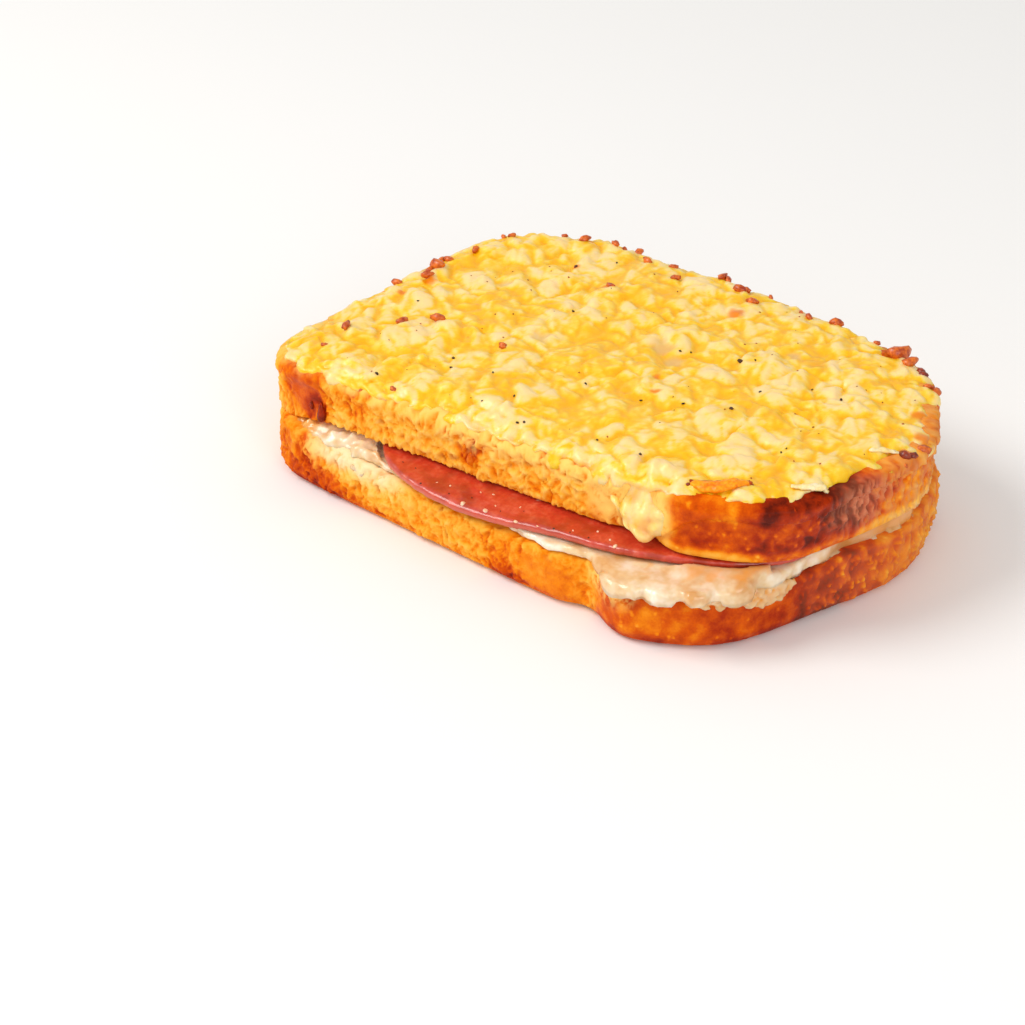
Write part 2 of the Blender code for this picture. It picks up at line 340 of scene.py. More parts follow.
def grainGroup():
    # fine grain that every food here shares: a value round 0.5 for tones, and a height for bumps
    group = bpy.data.node_groups.new("foodGrain", "ShaderNodeTree")
    group.interface.new_socket("Size", in_out="INPUT", socket_type="NodeSocketFloat")
    group.interface.new_socket("Spread", in_out="INPUT", socket_type="NodeSocketFloat")
    group.interface.new_socket("Value", in_out="OUTPUT", socket_type="NodeSocketFloat")
    group.interface.new_socket("Height", in_out="OUTPUT", socket_type="NodeSocketFloat")
    given = put(group, "NodeGroupInput")
    result = put(group, "NodeGroupOutput")
    place = objectPlace(group)
    scale = calc(group, "DIVIDE", 1000.0, given.outputs["Size"])
    coarse = put(group, "ShaderNodeTexNoise", links={"Vector": place, "Scale": scale}, values={"Detail": 3.0})
    fineScale = calc(group, "MULTIPLY", scale, 3.1)
    fine = put(group, "ShaderNodeTexNoise", links={"Vector": place, "Scale": fineScale},
               values={"Detail": 2.0})
    mixed = calc(group, "ADD", calc(group, "MULTIPLY", coarse.outputs["Fac"], 0.65),
                 calc(group, "MULTIPLY", fine.outputs["Fac"], 0.35))
    spread = calc(group, "MULTIPLY", calc(group, "SUBTRACT", mixed, 0.5), given.outputs["Spread"])
    group.links.new(calc(group, "ADD", spread, 0.5, clamp=True), result.inputs["Value"])
    group.links.new(mixed, result.inputs["Height"])
    return group


grain = grainGroup()


def placeGrain(tree, size, spread):
    node = put(tree, "ShaderNodeGroup", node_tree=grain, values={"Size": size, "Spread": spread})
    return node.outputs["Value"], node.outputs["Height"]


def putBump(tree, shader, height, strength, distance):
    bump = put(tree, "ShaderNodeBump", values={"Strength": strength, "Distance": distance * mm},
               links={"Height": height})
    tree.links.new(bump.outputs["Normal"], shader.inputs["Normal"])


breadTones = {
    # tones of the bake mask, from pale crumb to burnt; the mask also carries painted shading of the relief,
    # crests lighter and hollows darker
    "bakeAndShading": [
        (0.00, tone(254, 220, 142)),
        (0.22, tone(252, 198, 98)),
        (0.42, tone(248, 172, 54)),
        (0.56, tone(238, 134, 12)),
        (0.70, tone(212, 84, 2)),
        (0.84, tone(168, 44, 6)),
        (1.00, tone(92, 20, 8)),
    ],
    "blister": tone(232, 148, 106),
    "blisterDark": tone(170, 76, 50),
    "cheese": tone(253, 208, 112),
    "soaked": tone(248, 224, 180),
    # painted shade inside the open pores of the crumb
    "poreShade": tone(186, 72, 12),
}


def breadMaterial():
    look = {"Roughness": 0.55, "Specular IOR Level": 0.07, "Subsurface Weight": 0.05,
            "Subsurface Scale": 0.001, "Subsurface Radius": (1.0, 0.5, 0.2), "Coat Roughness": 0.18,
            "Specular Tint": (1.0, 0.7, 0.4, 1.0)}
    material, tree, shader = newMaterial("toastedBread", look)
    value, height = placeGrain(tree, 1.4, 1.1)
    speckle = swing(tree, value, 0.24)
    bakeAndShading = calc(tree, "ADD", maskOf(tree, "bakeAndShading"), speckle)
    baked = colourRamp(tree, bakeAndShading, breadTones["bakeAndShading"])
    skin = blendColours(tree, value, breadTones["blisterDark"], breadTones["blister"])
    baked = blendColours(tree, maskOf(tree, "blister"), baked, skin)
    # painted shade inside the pores of the crumb
    baked = blendColours(tree, maskOf(tree, "poreShade"), baked, breadTones["poreShade"])
    baked = blendColours(tree, maskOf(tree, "cheesy"), baked, breadTones["cheese"])
    baked = blendColours(tree, maskOf(tree, "soaked"), baked, breadTones["soaked"])
    tree.links.new(baked, shader.inputs["Base Color"])
    gloss = maskOf(tree, "gloss")
    rough = calc(tree, "SUBTRACT", 0.65, calc(tree, "MULTIPLY", gloss, 0.3))
    tree.links.new(calc(tree, "ADD", rough, swing(tree, value, 0.2)), shader.inputs["Roughness"])
    tree.links.new(calc(tree, "MULTIPLY", gloss, 0.22), shader.inputs["Coat Weight"])
    putBump(tree, shader, height, 0.5, 0.35)
    return material


bread = breadMaterial()


def wallShare(normals):
    return smoothStep(0.15, 0.75, 1 - np.abs(normals[:, 2]))


def rimReach(points, normals):
    # how far each point lies inside the outline, seen from above
    rim = pointTree(points[np.abs(normals[:, 2]) < 0.3] * (1, 1, 0))
    return np.array([rim.find(point)[2] for point in points * (1, 1, 0)])


def edgeLine(points):
    # the height at which the melted cheese ends on the side of the slice
    x, y = points[:, 0], points[:, 1]
    wander = softNoise(points * (1, 1, 0), 4.5, 101) + 0.5 * softNoise(points * (1, 1, 0), 1.9, 102)
    crownFront = smoothStep(38, 46, x) * smoothStep(0, -10, y)
    right = smoothStep(60, 66, x) * smoothStep(-8, 0, y)
    return 31.0 + 0.03 * x + 0.9 * crownFront - 2.8 * right - (0.9 - 0.5 * crownFront + 0.6 * right) * wander


breadStyle = {
    # widths of the slow changes in tone and relief, and how much they change the tone
    "drift": 9.0,
    "blotch": 3.2,
    "driftTone": 0.07,
    "blotchTone": 0.05,
}

crumbStyle = {
    # heights of what makes up torn crumb
    "lump": 0.4,
    "strand": 0.6,
    "fine": 0.24,
    "nub": 0.35,
    "pore": 0.8,
    "swell": 0.4,
}

upperStyle = {
    "node": "bread_upper",
    "seed": 11,
    "grid": 0.8,
    "rounds": 8,
    "crown": (35, 44),
    "bakeAndShading": 0.42,
    "patches": [
        # middle, reach, how much darker
        ((-60, -44, 26), (10, 12, 11), 0.26),
        ((-56, -44, 20), (6, 8, 7), 0.22),
        ((-46, -44, 26), (8, 8, 6), 0.16),
        ((-12, -44, 24), (4.5, 6, 5), 0.34),
        ((-9, -44, 27), (3.5, 6, 4), 0.16),
        ((48, -41, 25), (9, 9, 9), 0.06),
        ((22, -42, 24), (5, 6, 8), 0.10),
        ((40, -42, 26), (4.5, 8, 9), -0.20),
    ],
    "smooth": [((23.5, -43, 24), (6, 6, 8)), ((-60, -44, 24), (7, 10, 7))],
    # the blistered place on the crown, and the heights between which it fades upwards
    "blister": ((71.5, -12, 28), (9, 14, 8)),
    "blisterTop": (34.0, 31.0),
    # where cheese has soaked over the wall at the waist: middle, reach, share
    "melted": [((39, -42, 27), (5, 8, 8), 1.0), ((27, -43, 26), (10, 8, 9), 0.9)],
    "meltedShare": 0.85,
    # how far the torn lower edge hangs, and how far it drops at the left end and at the crown's right
    "hang": 0.9,
    "leftDrop": 2.2,
    "rightDrop": 1.1,
    # rounds that even out the depth of the cheese on the rim
    "coverRounds": 40,
}

lowerStyle = {
    "node": "bread_lower",
    "seed": 51,
    "grid": 0.8,
    "rounds": 8,
    "crown": (25, 32),
    "bakeAndShading": 0.45,
    "patches": [
        ((-62, -46, 4), (26, 14, 11), 0.19),
        ((-48, -47, 3), (24, 12, 8), 0.14),
        ((12, -51, 6), (20, 12, 10), 0.15),
        ((4, -51, 2), (7, 6, 4), 0.2),
    ],
    "smooth": [((16, -51, 6), (12, 8, 7))],
    # how far the upper edge turns up along the left front, at the left end and at the crown's right
    "frontUp": 1.4,
    "leftUp": 0.4,
    "rightUp": 0.8,
    "granule": 1.3,
    # the place soaked with sauce, and the ones smeared with cheese
    "soaked": ((-42, -47, 13), (18, 12, 10)),
    "smears": [((-42, -47, 12), (22, 12, 12)), ((33, -51.5, 12), (10, 8, 7))],
}


def bent(points, size, reach, seed):
    # the points pushed about a little, so that patterns read at them don't repeat evenly
    push = np.stack([softNoise(points, size, seed + part) for part in range(3)], axis=1)
    return points + reach * push


def crumbRelief(points, seed):
    # torn crumb: soft lumps, curls here and there, small nubs and open pores
    loose = bent(points, 3.0, 1.1, seed + 7)
    lumps = softNoise(loose, (1.6, 1.6, 2.0), seed + 5)
    curly = smoothStep(-0.3, 0.5, softNoise(points, 6.0, seed + 6))
    strands = (ridges(loose, (2.3, 2.3, 2.9), seed) - 0.45) * (0.35 + 0.65 * curly)
    fine = ridges(loose, (0.9, 0.9, 1.2), seed + 1) - 0.45
    near = cells(loose, (1.7, 1.7, 2.0), seed + 2)[0]
    nubs = np.clip(0.75 - near, 0, 1) - 0.25
    hole, _, choice = cells(loose, (3.1, 3.1, 3.6), seed + 3)
    pores = (1 - smoothStep(0.10, 0.36, hole)) * (choice > 0.6)
    height = crumbStyle["lump"] * lumps + crumbStyle["strand"] * strands + crumbStyle["fine"] * fine
    height += crumbStyle["nub"] * nubs + crumbStyle["swell"] * softNoise(points, 5.0, seed + 4)
    height -= crumbStyle["pore"] * pores
    # texture is high on the crests of the relief and low in its hollows; the slices use it for painted
    # highlight and painted shade on the crumb, and to place cheese and sauce
    texture = 0.5 + 0.35 * lumps + 0.6 * strands + 0.4 * fine + 0.5 * nubs
    return height, pores, np.clip(texture, 0, 1)


def crustRelief(points, seed):
    # a tight baked skin with faint waves and pimples
    near, _, pick = cells(points, 1.6, seed)
    pimples = (1 - smoothStep(0.1, 0.4, near)) * (pick > 0.72)
    waves = 0.18 * softNoise(points, 6.0, seed + 1) + 0.07 * softNoise(points, 1.6, seed + 2)
    return waves + 0.12 * pimples, pimples


def evenSlice(pieceName, style):
    # the slice on an even grid: piece, points, normals, share of its height, share of wall, two slow noises
    piece = newPiece(pieceName, mergedCopy(style["node"]))
    evenSkin(piece, style["grid"], style["rounds"])
    refine(piece, wallShare(normalsOf(piece)) > 0.2, 2)
    points, normals = pointsOf(piece), normalsOf(piece)
    low, high = points[:, 2].min(), points[:, 2].max()
    drift = softNoise(points, breadStyle["drift"], style["seed"] + 20)
    blotch = softNoise(points, breadStyle["blotch"], style["seed"] + 21)
    return piece, points, normals, (points[:, 2] - low) / (high - low), wallShare(normals), drift, blotch


def allPatches(points, rows):
    total = np.zeros(len(points))
    for centre, reach, amount in rows:
        total += amount * patch(points, centre, reach)
    return total


def toastTone(points, style, drift, blotch):
    tint = style["bakeAndShading"] + breadStyle["driftTone"] * drift + breadStyle["blotchTone"] * blotch
    return tint + allPatches(points, style["patches"])


def smoothed(points, rows):
    left = np.ones(len(points))
    for centre, reach in rows:
        left *= 1 - 0.85 * patch(points, centre, reach)
    return left


def lowEdge(points, wall):
    # the height of the lower edge of the wall, which follows the tilt of the slice
    edge = points[wall > 0.5]
    span = np.round(edge[:, 0] / 4).astype(int)
    middles = np.unique(span)
    lows = [np.percentile(edge[span == middle][:, 2], 2) for middle in middles]
    return np.interp(points[:, 0], middles * 4.0, lows)


def coverDepth(nodeName, points, normals, wanted):
    # how far out the skin of the node lies over each wanted point
    tree = skinTree(mergedCopy(nodeName))
    far = 6.0
    found = np.zeros(len(points))
    for number in np.flatnonzero(wanted):
        place, way = Vector(points[number] * mm), Vector(normals[number])
        reach = tree.ray_cast(place + way * far * mm, -way, far * mm)[3]
        found[number] = far - reach / mm if reach else 0.0
    return found


def eased(piece, values, rounds):
    # the values evened out over neighbouring points of the piece
    ends = np.empty(len(piece.data.edges) * 2, np.int32)
    piece.data.edges.foreach_get("vertices", ends)
    first, second = ends[::2], ends[1::2]
    count = np.maximum(np.bincount(ends, minlength=len(values)), 1)
    for _ in range(rounds):
        total = np.bincount(first, values[second], len(values))
        total += np.bincount(second, values[first], len(values))
        values = 0.5 * values + 0.5 * total / count
    return values


def upperSlice():
    style = upperStyle
    piece, points, normals, rise, wall, drift, blotch = evenSlice("upperSlice", style)
    seed = style["seed"]
    x, y = points[:, 0], points[:, 1]
    crown = smoothStep(*style["crown"], x + 3 * drift)
    nearRim = smoothStep(4.5, 2.5, rimReach(points, normals)) * smoothStep(26.5, 29.0, points[:, 2])
    crumb = (1 - crown) * np.maximum(wall, nearRim) * smoothed(points, style["smooth"])
    crumbHeight, pores, texture = crumbRelief(points, seed)
    crustHeight, pimples = crustRelief(points, seed + 30)

    blister = patch(points, *style["blister"]) * smoothStep(*style["blisterTop"], points[:, 2])
    blister *= smoothStep(-0.75, -0.05, softNoise(points, 4.5, seed + 22))
    wrinkles = ridges(bent(points, 4, 1.2, seed + 23), (1.4, 1.4, 5.0), seed + 24) - 0.4
    east = crown * smoothStep(-16, 4, y)
    red = smoothStep(54, 64, x + 2 * drift) * (1 - smoothStep(-18, -6, y + 3 * drift)) * crown
    height = crumb * crumbHeight + (1 - crown) * (wall - crumb) * 0.2 * blotch
    dents = ridges(bent(points, 3, 1.0, seed + 25), (3.2, 3.2, 2.4), seed + 29) - 0.4
    knobs = softNoise(bent(points, 2, 0.8, seed + 33), (1.5, 1.5, 2.2), seed + 34)
    rough = np.maximum(blister, east)
    folds = smoothStep(-0.35, 0.35, wrinkles + 0.5 * knobs)
    height += crown * wall * (crustHeight + (1.0 * blister + 0.5 * east) * wrinkles + 0.4 * red * dents)
    height += crown * wall * (0.12 + 0.45 * rough) * knobs
    rim = smoothStep(5.0, 2.5, rimReach(points, normals)) * smoothStep(20.0, 24.0, points[:, 2])
    rim *= normals[:, 2] > -0.2
    cover = rim * coverDepth("cheese_topping", points, normals, rim > 0)
    even = eased(piece, cover, style["coverRounds"])
    height += cover + (even - cover) * (1 - crown) - 0.1 * nearRim
    hang = wall * (1 - crown) * smoothStep(0.3, 0.05, rise)
    hang *= smoothStep(0.1, 0.8, ridges(points, (1.6, 1.6, 6), seed + 26))
    moved = points + normals * height[:, None]
    foot = smoothStep(0.45, 0.0, rise)
    moved[:, 2] -= style["hang"] * hang + style["leftDrop"] * foot * smoothStep(-54, -66, x)
    moved[:, 2] -= style["rightDrop"] * foot * smoothStep(60, 66, x) * smoothStep(-24, -8, y)
    movePoints(piece, moved)

    bakeAndShading = toastTone(points, style, drift, blotch)
    # painted highlight and shade on the crumb: crests lighter, hollows darker
    bakeAndShading += crumb * (0.36 + 0.12 * blotch) * (0.5 - texture)
    gold = crown * (0.26 + 0.05 * drift + 0.06 * blotch)
    # painted shading on the crown: the raised crests of dents, knobs and wrinkles are lighter and the creases
    # between folds darker; the raised pimples are lighter too
    bakeAndShading += crown * (0.06 * softNoise(points, 1.5, seed + 31) - 0.10 * red * dents)
    bakeAndShading -= crown * 0.20 * rough * (knobs + 0.5 * wrinkles)
    bakeAndShading += 0.22 * blister * (1 - folds)
    bakeAndShading += gold + 0.23 * red - 0.10 * east * (1 - red) + 0.04 * crown * smoothStep(0.7, 1.0, rise) * red
    lowest = smoothStep(2.6, 0.6, points[:, 2] - lowEdge(points, wall))
    bakeAndShading -= 0.12 * east * smoothStep(31.0, 33.5, points[:, 2])
    bakeAndShading -= crown * (1 - 0.4 * red) * 0.30 * lowest
    bakeAndShading -= 0.2 * crown * pimples
    keepMask(piece, "bakeAndShading", bakeAndShading)
    # the blistered skin tone is kept to the crests of the folds, so the creases keep the darker baked tone as
    # painted shade
    keepMask(piece, "blister", np.maximum(blister * (0.35 + 0.65 * folds), 0.5 * east * folds))
    # painted shade inside the open pores of the crumb
    keepMask(piece, "poreShade", pores * crumb * 0.5)
    keepMask(piece, "soaked", 0 * x)
    below = edgeLine(points) - points[:, 2]
    streak = ridges(bent(points, 5, 1.5, seed + 27), (2.4, 2.4, 9.0), seed + 28) - 0.4
    reach = 2.2 + 4.5 * smoothStep(-40, -5, x) * (1 - crown) - 1.0 * crown
    melted = smoothStep(reach, 0.2, below - 3.0 * (1 - crown) * streak * smoothStep(-45, -5, x))
    melted *= 1 - 0.8 * crown
    for centre, reach, share in style["melted"]:
        melted = np.maximum(melted, share * patch(points, centre, reach))
    keepMask(piece, "cheesy", melted * smoothStep(-0.1, 0.5, texture) * style["meltedShare"])
    gloss = crown * wall * (0.55 + 0.4 * red + 2.6 * blister)
    gloss += 0.2 * crumb + 0.8 * (1 - crown) * (wall - crumb)
    keepMask(piece, "gloss", gloss)
    finishPiece(piece, bread, ["bread_upper"])
    return piece


def lowerSlice():
    style = lowerStyle
    piece, points, normals, rise, wall, drift, blotch = evenSlice("lowerSlice", style)
    seed = style["seed"]
    x, y = points[:, 0], points[:, 1]
    crown = smoothStep(*style["crown"], x + 2 * drift)
    shoulder = smoothStep(5, 2.5, rimReach(points, normals)) * (normals[:, 2] > 0)
    crumb = (1 - crown) * np.maximum(wall, shoulder) * smoothed(points, style["smooth"])
    crumbHeight, pores, texture = crumbRelief(points, seed)
    crustHeight, pimples = crustRelief(points, seed + 30)
    grainy = crown * smoothStep(-30, -16, y + 4 * drift)
    near, _, pick = cells(bent(points, 2.0, 0.8, seed + 23), style["granule"], seed + 24)
    granules = np.clip(0.8 - near, 0, 1) * smoothStep(0.3, 0.9, pick + 0.3 * blotch)
    knobs = softNoise(bent(points, 2, 0.8, seed + 33), 3.0, seed + 34)
    height = crumb * crumbHeight * 0.85
    height += crown * wall * (crustHeight + grainy * (1.0 * granules + 0.7 * knobs - 0.3))
    height += (1 - crown) * (wall - crumb) * 0.2 * blotch
    moved = points + normals * height[:, None]
    moved[:, 2] = np.maximum(moved[:, 2], points[:, 2].min() + 0.02)
    upturn = style["frontUp"] * smoothStep(-36, -44, x) + style["leftUp"] * smoothStep(-54, -66, x)
    upturn += style["rightUp"] * smoothStep(58, 64, x) * smoothStep(-22, -10, y)
    moved[:, 2] += upturn * smoothStep(0.6, 1.0, rise)
    movePoints(piece, moved)

    bakeAndShading = toastTone(points, style, drift, blotch)
    # painted highlight and shade on the crumb: crests lighter, hollows darker
    bakeAndShading += crumb * (0.26 + 0.14 * blotch) * (0.5 - texture)
    bakeAndShading -= 0.12 * patch(points, (-42, -47, 12), (20, 12, 12))
    bakeAndShading += crown * (0.23 + 0.10 * smoothStep(44, 60, x) - 0.27 * smoothStep(-20, 6, y) + 0.09 * blotch)
    gentle = 1 - 0.45 * smoothStep(-16, 0, y)
    # painted shading on the grainy crown: the raised granules and knobs lighter, the gaps between them darker
    bakeAndShading += grainy * gentle * (0.14 - 0.50 * granules - 0.20 * knobs) - 0.15 * crown * pimples * (1 - grainy)
    bakeAndShading += wall * 0.20 * smoothStep(0.28, 0.0, rise + 0.1 * drift)
    keepMask(piece, "bakeAndShading", bakeAndShading)
    # painted shade: the gaps between the granules take the darker blistered skin tone
    keepMask(piece, "blister", 0.25 * grainy * (1 - granules))
    # painted shade inside the open pores of the crumb
    keepMask(piece, "poreShade", pores * crumb * 0.5)
    soaked = smoothStep(0.6, 1.0, rise + 0.14 * blotch) * patch(points, *style["soaked"])
    keepMask(piece, "soaked", soaked * smoothStep(-0.5, 0.6, texture) * 0.9)
    left, waist = style["smears"]
    smear = smoothStep(0.4, 0.9, rise + 0.12 * blotch) * patch(points, *left)
    smear = np.maximum(smear, 1.3 * smoothStep(0.3, 0.9, rise) * patch(points, *waist))
    keepMask(piece, "cheesy", smear * smoothStep(0.2, 0.8, texture) * 0.7)
    keepMask(piece, "gloss", crown * wall * 0.45 + 0.15 * crumb + 0.6 * (1 - crown) * (wall - crumb))
    finishPiece(piece, bread, ["bread_lower"])
    return piece


upper = upperSlice()
lower = lowerSlice()


hamStyle = {
    "grid": 0.6,
    "rounds": 4,
    # height and width of the slow waves and of the fine ones
    "waves": (0.12, 5),
    "ripples": (0.06, 1.5),
    # specks of fat: how far apart, how far they stand out, the share left out
    "fatApart": 4.5,
    "fatRise": 0.08,
    "fatLeftOut": 0.45,
    # heights between which the cut edge turns pale
    "rimTop": 17.4,
    "rimLow": 16.4,
    "rimShare": 0.8,
    "smokedShare": 0.7,
}


def hamMaterial():
    look = {"Roughness": 0.3, "Specular IOR Level": 0.55, "Subsurface Weight": 0.12,
            "Subsurface Scale": 0.0015, "Subsurface Radius": (1.0, 0.35, 0.2),
            "Coat Weight": 0.45, "Coat Roughness": 0.12}
    material, tree, shader = newMaterial("curedHam", look)
    value, height = placeGrain(tree, 2.4, 2.0)
    meat = colourRamp(tree, value, [
        (0.0, tone(176, 40, 22)),
        (0.5, tone(200, 62, 38)),
        (1.0, tone(220, 104, 76)),
    ])
    meat = blendColours(tree, maskOf(tree, "smoked"), meat, tone(156, 40, 12))
    meat = blendColours(tree, maskOf(tree, "rim"), meat, tone(204, 84, 58))
    meat = blendColours(tree, maskOf(tree, "fat"), meat, tone(250, 214, 190))
    tree.links.new(meat, shader.inputs["Base Color"])
    putBump(tree, shader, height, 0.45, 0.4)
    return material


def evenLayer(pieceName, nodeName, style):
    piece = newPiece(pieceName, mergedCopy(nodeName))
    evenSkin(piece, style["grid"], style["rounds"])
    points, normals = pointsOf(piece), normalsOf(piece)
    return piece, points, normals, wallShare(normals)


def hamSlice():
    style = hamStyle
    piece, points, normals, wall = evenLayer("hamSlice", "ham", style)
    near, _, pick = cells(points, style["fatApart"], 71)
    fat = (1 - smoothStep(0.05, 0.14, near)) * (pick > style["fatLeftOut"])
    height = style["waves"][0] * softNoise(points, style["waves"][1], 72)
    height += style["ripples"][0] * softNoise(points, style["ripples"][1], 73)
    height += style["fatRise"] * fat
    movePoints(piece, points + normals * height[:, None])
    pale = smoothStep(style["rimTop"], style["rimLow"], points[:, 2])
    keepMask(piece, "rim", wall * pale * style["rimShare"])
    bands = softNoise(bent(points, 5, 1.5, 74), (5, 5, 20), 75)
    smoked = smoothStep(-0.1, 0.6, bands) * style["smokedShare"]
    edge = smoothStep(1.6, 0.5, rimReach(points, normals)) * smoothStep(-0.2, 0.4, softNoise(points, 4, 76))
    keepMask(piece, "smoked", np.maximum(smoked, style["smokedShare"] * edge))
    keepMask(piece, "fat", fat)
    finishPiece(piece, hamMaterial(), ["ham"])
    return piece


ham = hamSlice()


sauceStyle = {
    "grid": 0.6,
    "rounds": 4,
    # the sauce is lumpy and thin up to here, and smooth and thick from here on
    "lumpyTo": 10,
    "thickFrom": 24,
    # where it turns rough and white at the left
    "roughFrom": (-32, -38),
    # how much further it stays inside the slices at the left end and at the right of the crown
    "leftIn": 2.6,
    "rightIn": 1.5,
    # how far its lower edge hangs over the lower slice, evenly and in steps
    "hang": 0.2,
    "hangSteps": 1.3,
    "toastShare": 0.8,
    # lobes of the thick ooze at the crown: middle, reach, how far they swell
    "lobes": [((35, -53, 14.6), (4.6, 6, 4), 1.6), ((40.5, -52.5, 15.4), (3.4, 5, 3), 1.1),
              ((46.5, -51, 14.4), (3.8, 5, 3.6), 1.7), ((53, -47.5, 14.8), (4.2, 5, 3.4), 1.6),
              ((59, -40.5, 14.6), (4.6, 5, 3.6), 1.5), ((63.5, -31, 15.4), (4.5, 6, 3.4), 1.0),
              ((16, -50, 15), (6, 4, 3), 0.6), ((-50, -45.5, 15), (5, 4, 3), 0.8),
              ((-42, -46, 14.4), (4, 4, 3), 0.8)],
    # golden places: middle, reach
    "toasted": [((39.8, -47, 17.0), (2.2, 5, 1.2)), ((49.6, -46, 17.6), (2.0, 5, 1.1)),
                ((53.3, -43, 17.6), (1.6, 5, 1.0)), ((58.5, -38, 17.8), (1.8, 5, 1.0)),
                ((61.8, -33, 17.8), (1.6, 5, 1.0)), ((75, 6, 15), (10, 22, 9))],
}


def sauceMaterial():
    look = {"Roughness": 0.24, "Specular IOR Level": 0.45, "Subsurface Weight": 0.45,
            "Subsurface Scale": 0.003, "Subsurface Radius": (1.0, 0.75, 0.5),
            "Coat Weight": 0.35, "Coat Roughness": 0.08}
    material, tree, shader = newMaterial("bechamelSauce", look)
    value, height = placeGrain(tree, 9.0, 2.2)
    cream = colourRamp(tree, value, [
        (0.2, tone(214, 160, 98)),
        (0.5, tone(230, 200, 156)),
        (0.8, tone(246, 230, 208)),
    ])
    cream = blendColours(tree, maskOf(tree, "shade"), cream, tone(206, 136, 64))
    cream = blendColours(tree, maskOf(tree, "toast"), cream, tone(234, 158, 60))
    tree.links.new(cream, shader.inputs["Base Color"])
    putBump(tree, shader, height, 0.08, 0.5)
    return material


cream = sauceMaterial()


def sauceLayer():
    style = sauceStyle
    piece, points, normals, wall = evenLayer("bechamelLayer", "bechamel", style)
    x = points[:, 0]
    loose = bent(points, 4.0, 1.0, 85)
    lumpy = smoothStep(style["thickFrom"], style["lumpyTo"], x)
    rough = smoothStep(*style["roughFrom"], x)
    height = 0.1 + 0.35 * softNoise(points, 6, 81) + (0.06 + 0.6 * lumpy) * softNoise(loose, 2.4, 82)
    near = cells(loose, 6.0, 86)[0]
    height += 1.2 * (0.45 - near ** 2) * (1 - 0.4 * lumpy)
    height -= style["leftIn"] * smoothStep(-58, -66, x) + 0.4 * smoothStep(20, -30, x)
    height -= style["rightIn"] * smoothStep(58, 64, x) * smoothStep(-26, -8, points[:, 1])
    height += 0.6 * rough * softNoise(points, 1.7, 90)
    for centre, reach, swell in style["lobes"]:
        height += swell * patch(loose, centre, reach)
    height *= np.maximum(wall, rough * (normals[:, 2] > 0))
    moved = points + normals * height[:, None]
    drop = smoothStep(16.0, 13.6, points[:, 2]) * wall * smoothStep(28, 34, x)
    steps = smoothStep(-0.2, 0.1, softNoise(points * (1, 1, 0), 4.4, 83))
    moved[:, 2] -= drop * (style["hang"] + style["hangSteps"] * steps)
    movePoints(piece, moved)
    toast = allPatches(bent(points, 1.6, 0.8, 84), [(*row, 0.7) for row in style["toasted"]])
    brim = smoothStep(17.2, 18.0, points[:, 2] + 0.8 * softNoise(points, 1.8, 87)) * smoothStep(30, 38, x)
    toast = np.maximum(toast, 0.6 * brim * smoothStep(-0.1, 0.4, softNoise(points, 3.4, 88)))
    toast = np.maximum(toast, smoothStep(-49, -63, x + 8 * softNoise(points, 4.0, 89)))
    keepMask(piece, "toast", toast * style["toastShare"])
    shade = smoothStep(16.8, 18.4, points[:, 2]) * 0.5 * smoothStep(-30, 10, x)
    keepMask(piece, "shade", shade + (0.6 - 0.4 * rough) * smoothStep(0.3, -0.9, height))
    finishPiece(piece, cream, ["bechamel"])


sauceLayer()


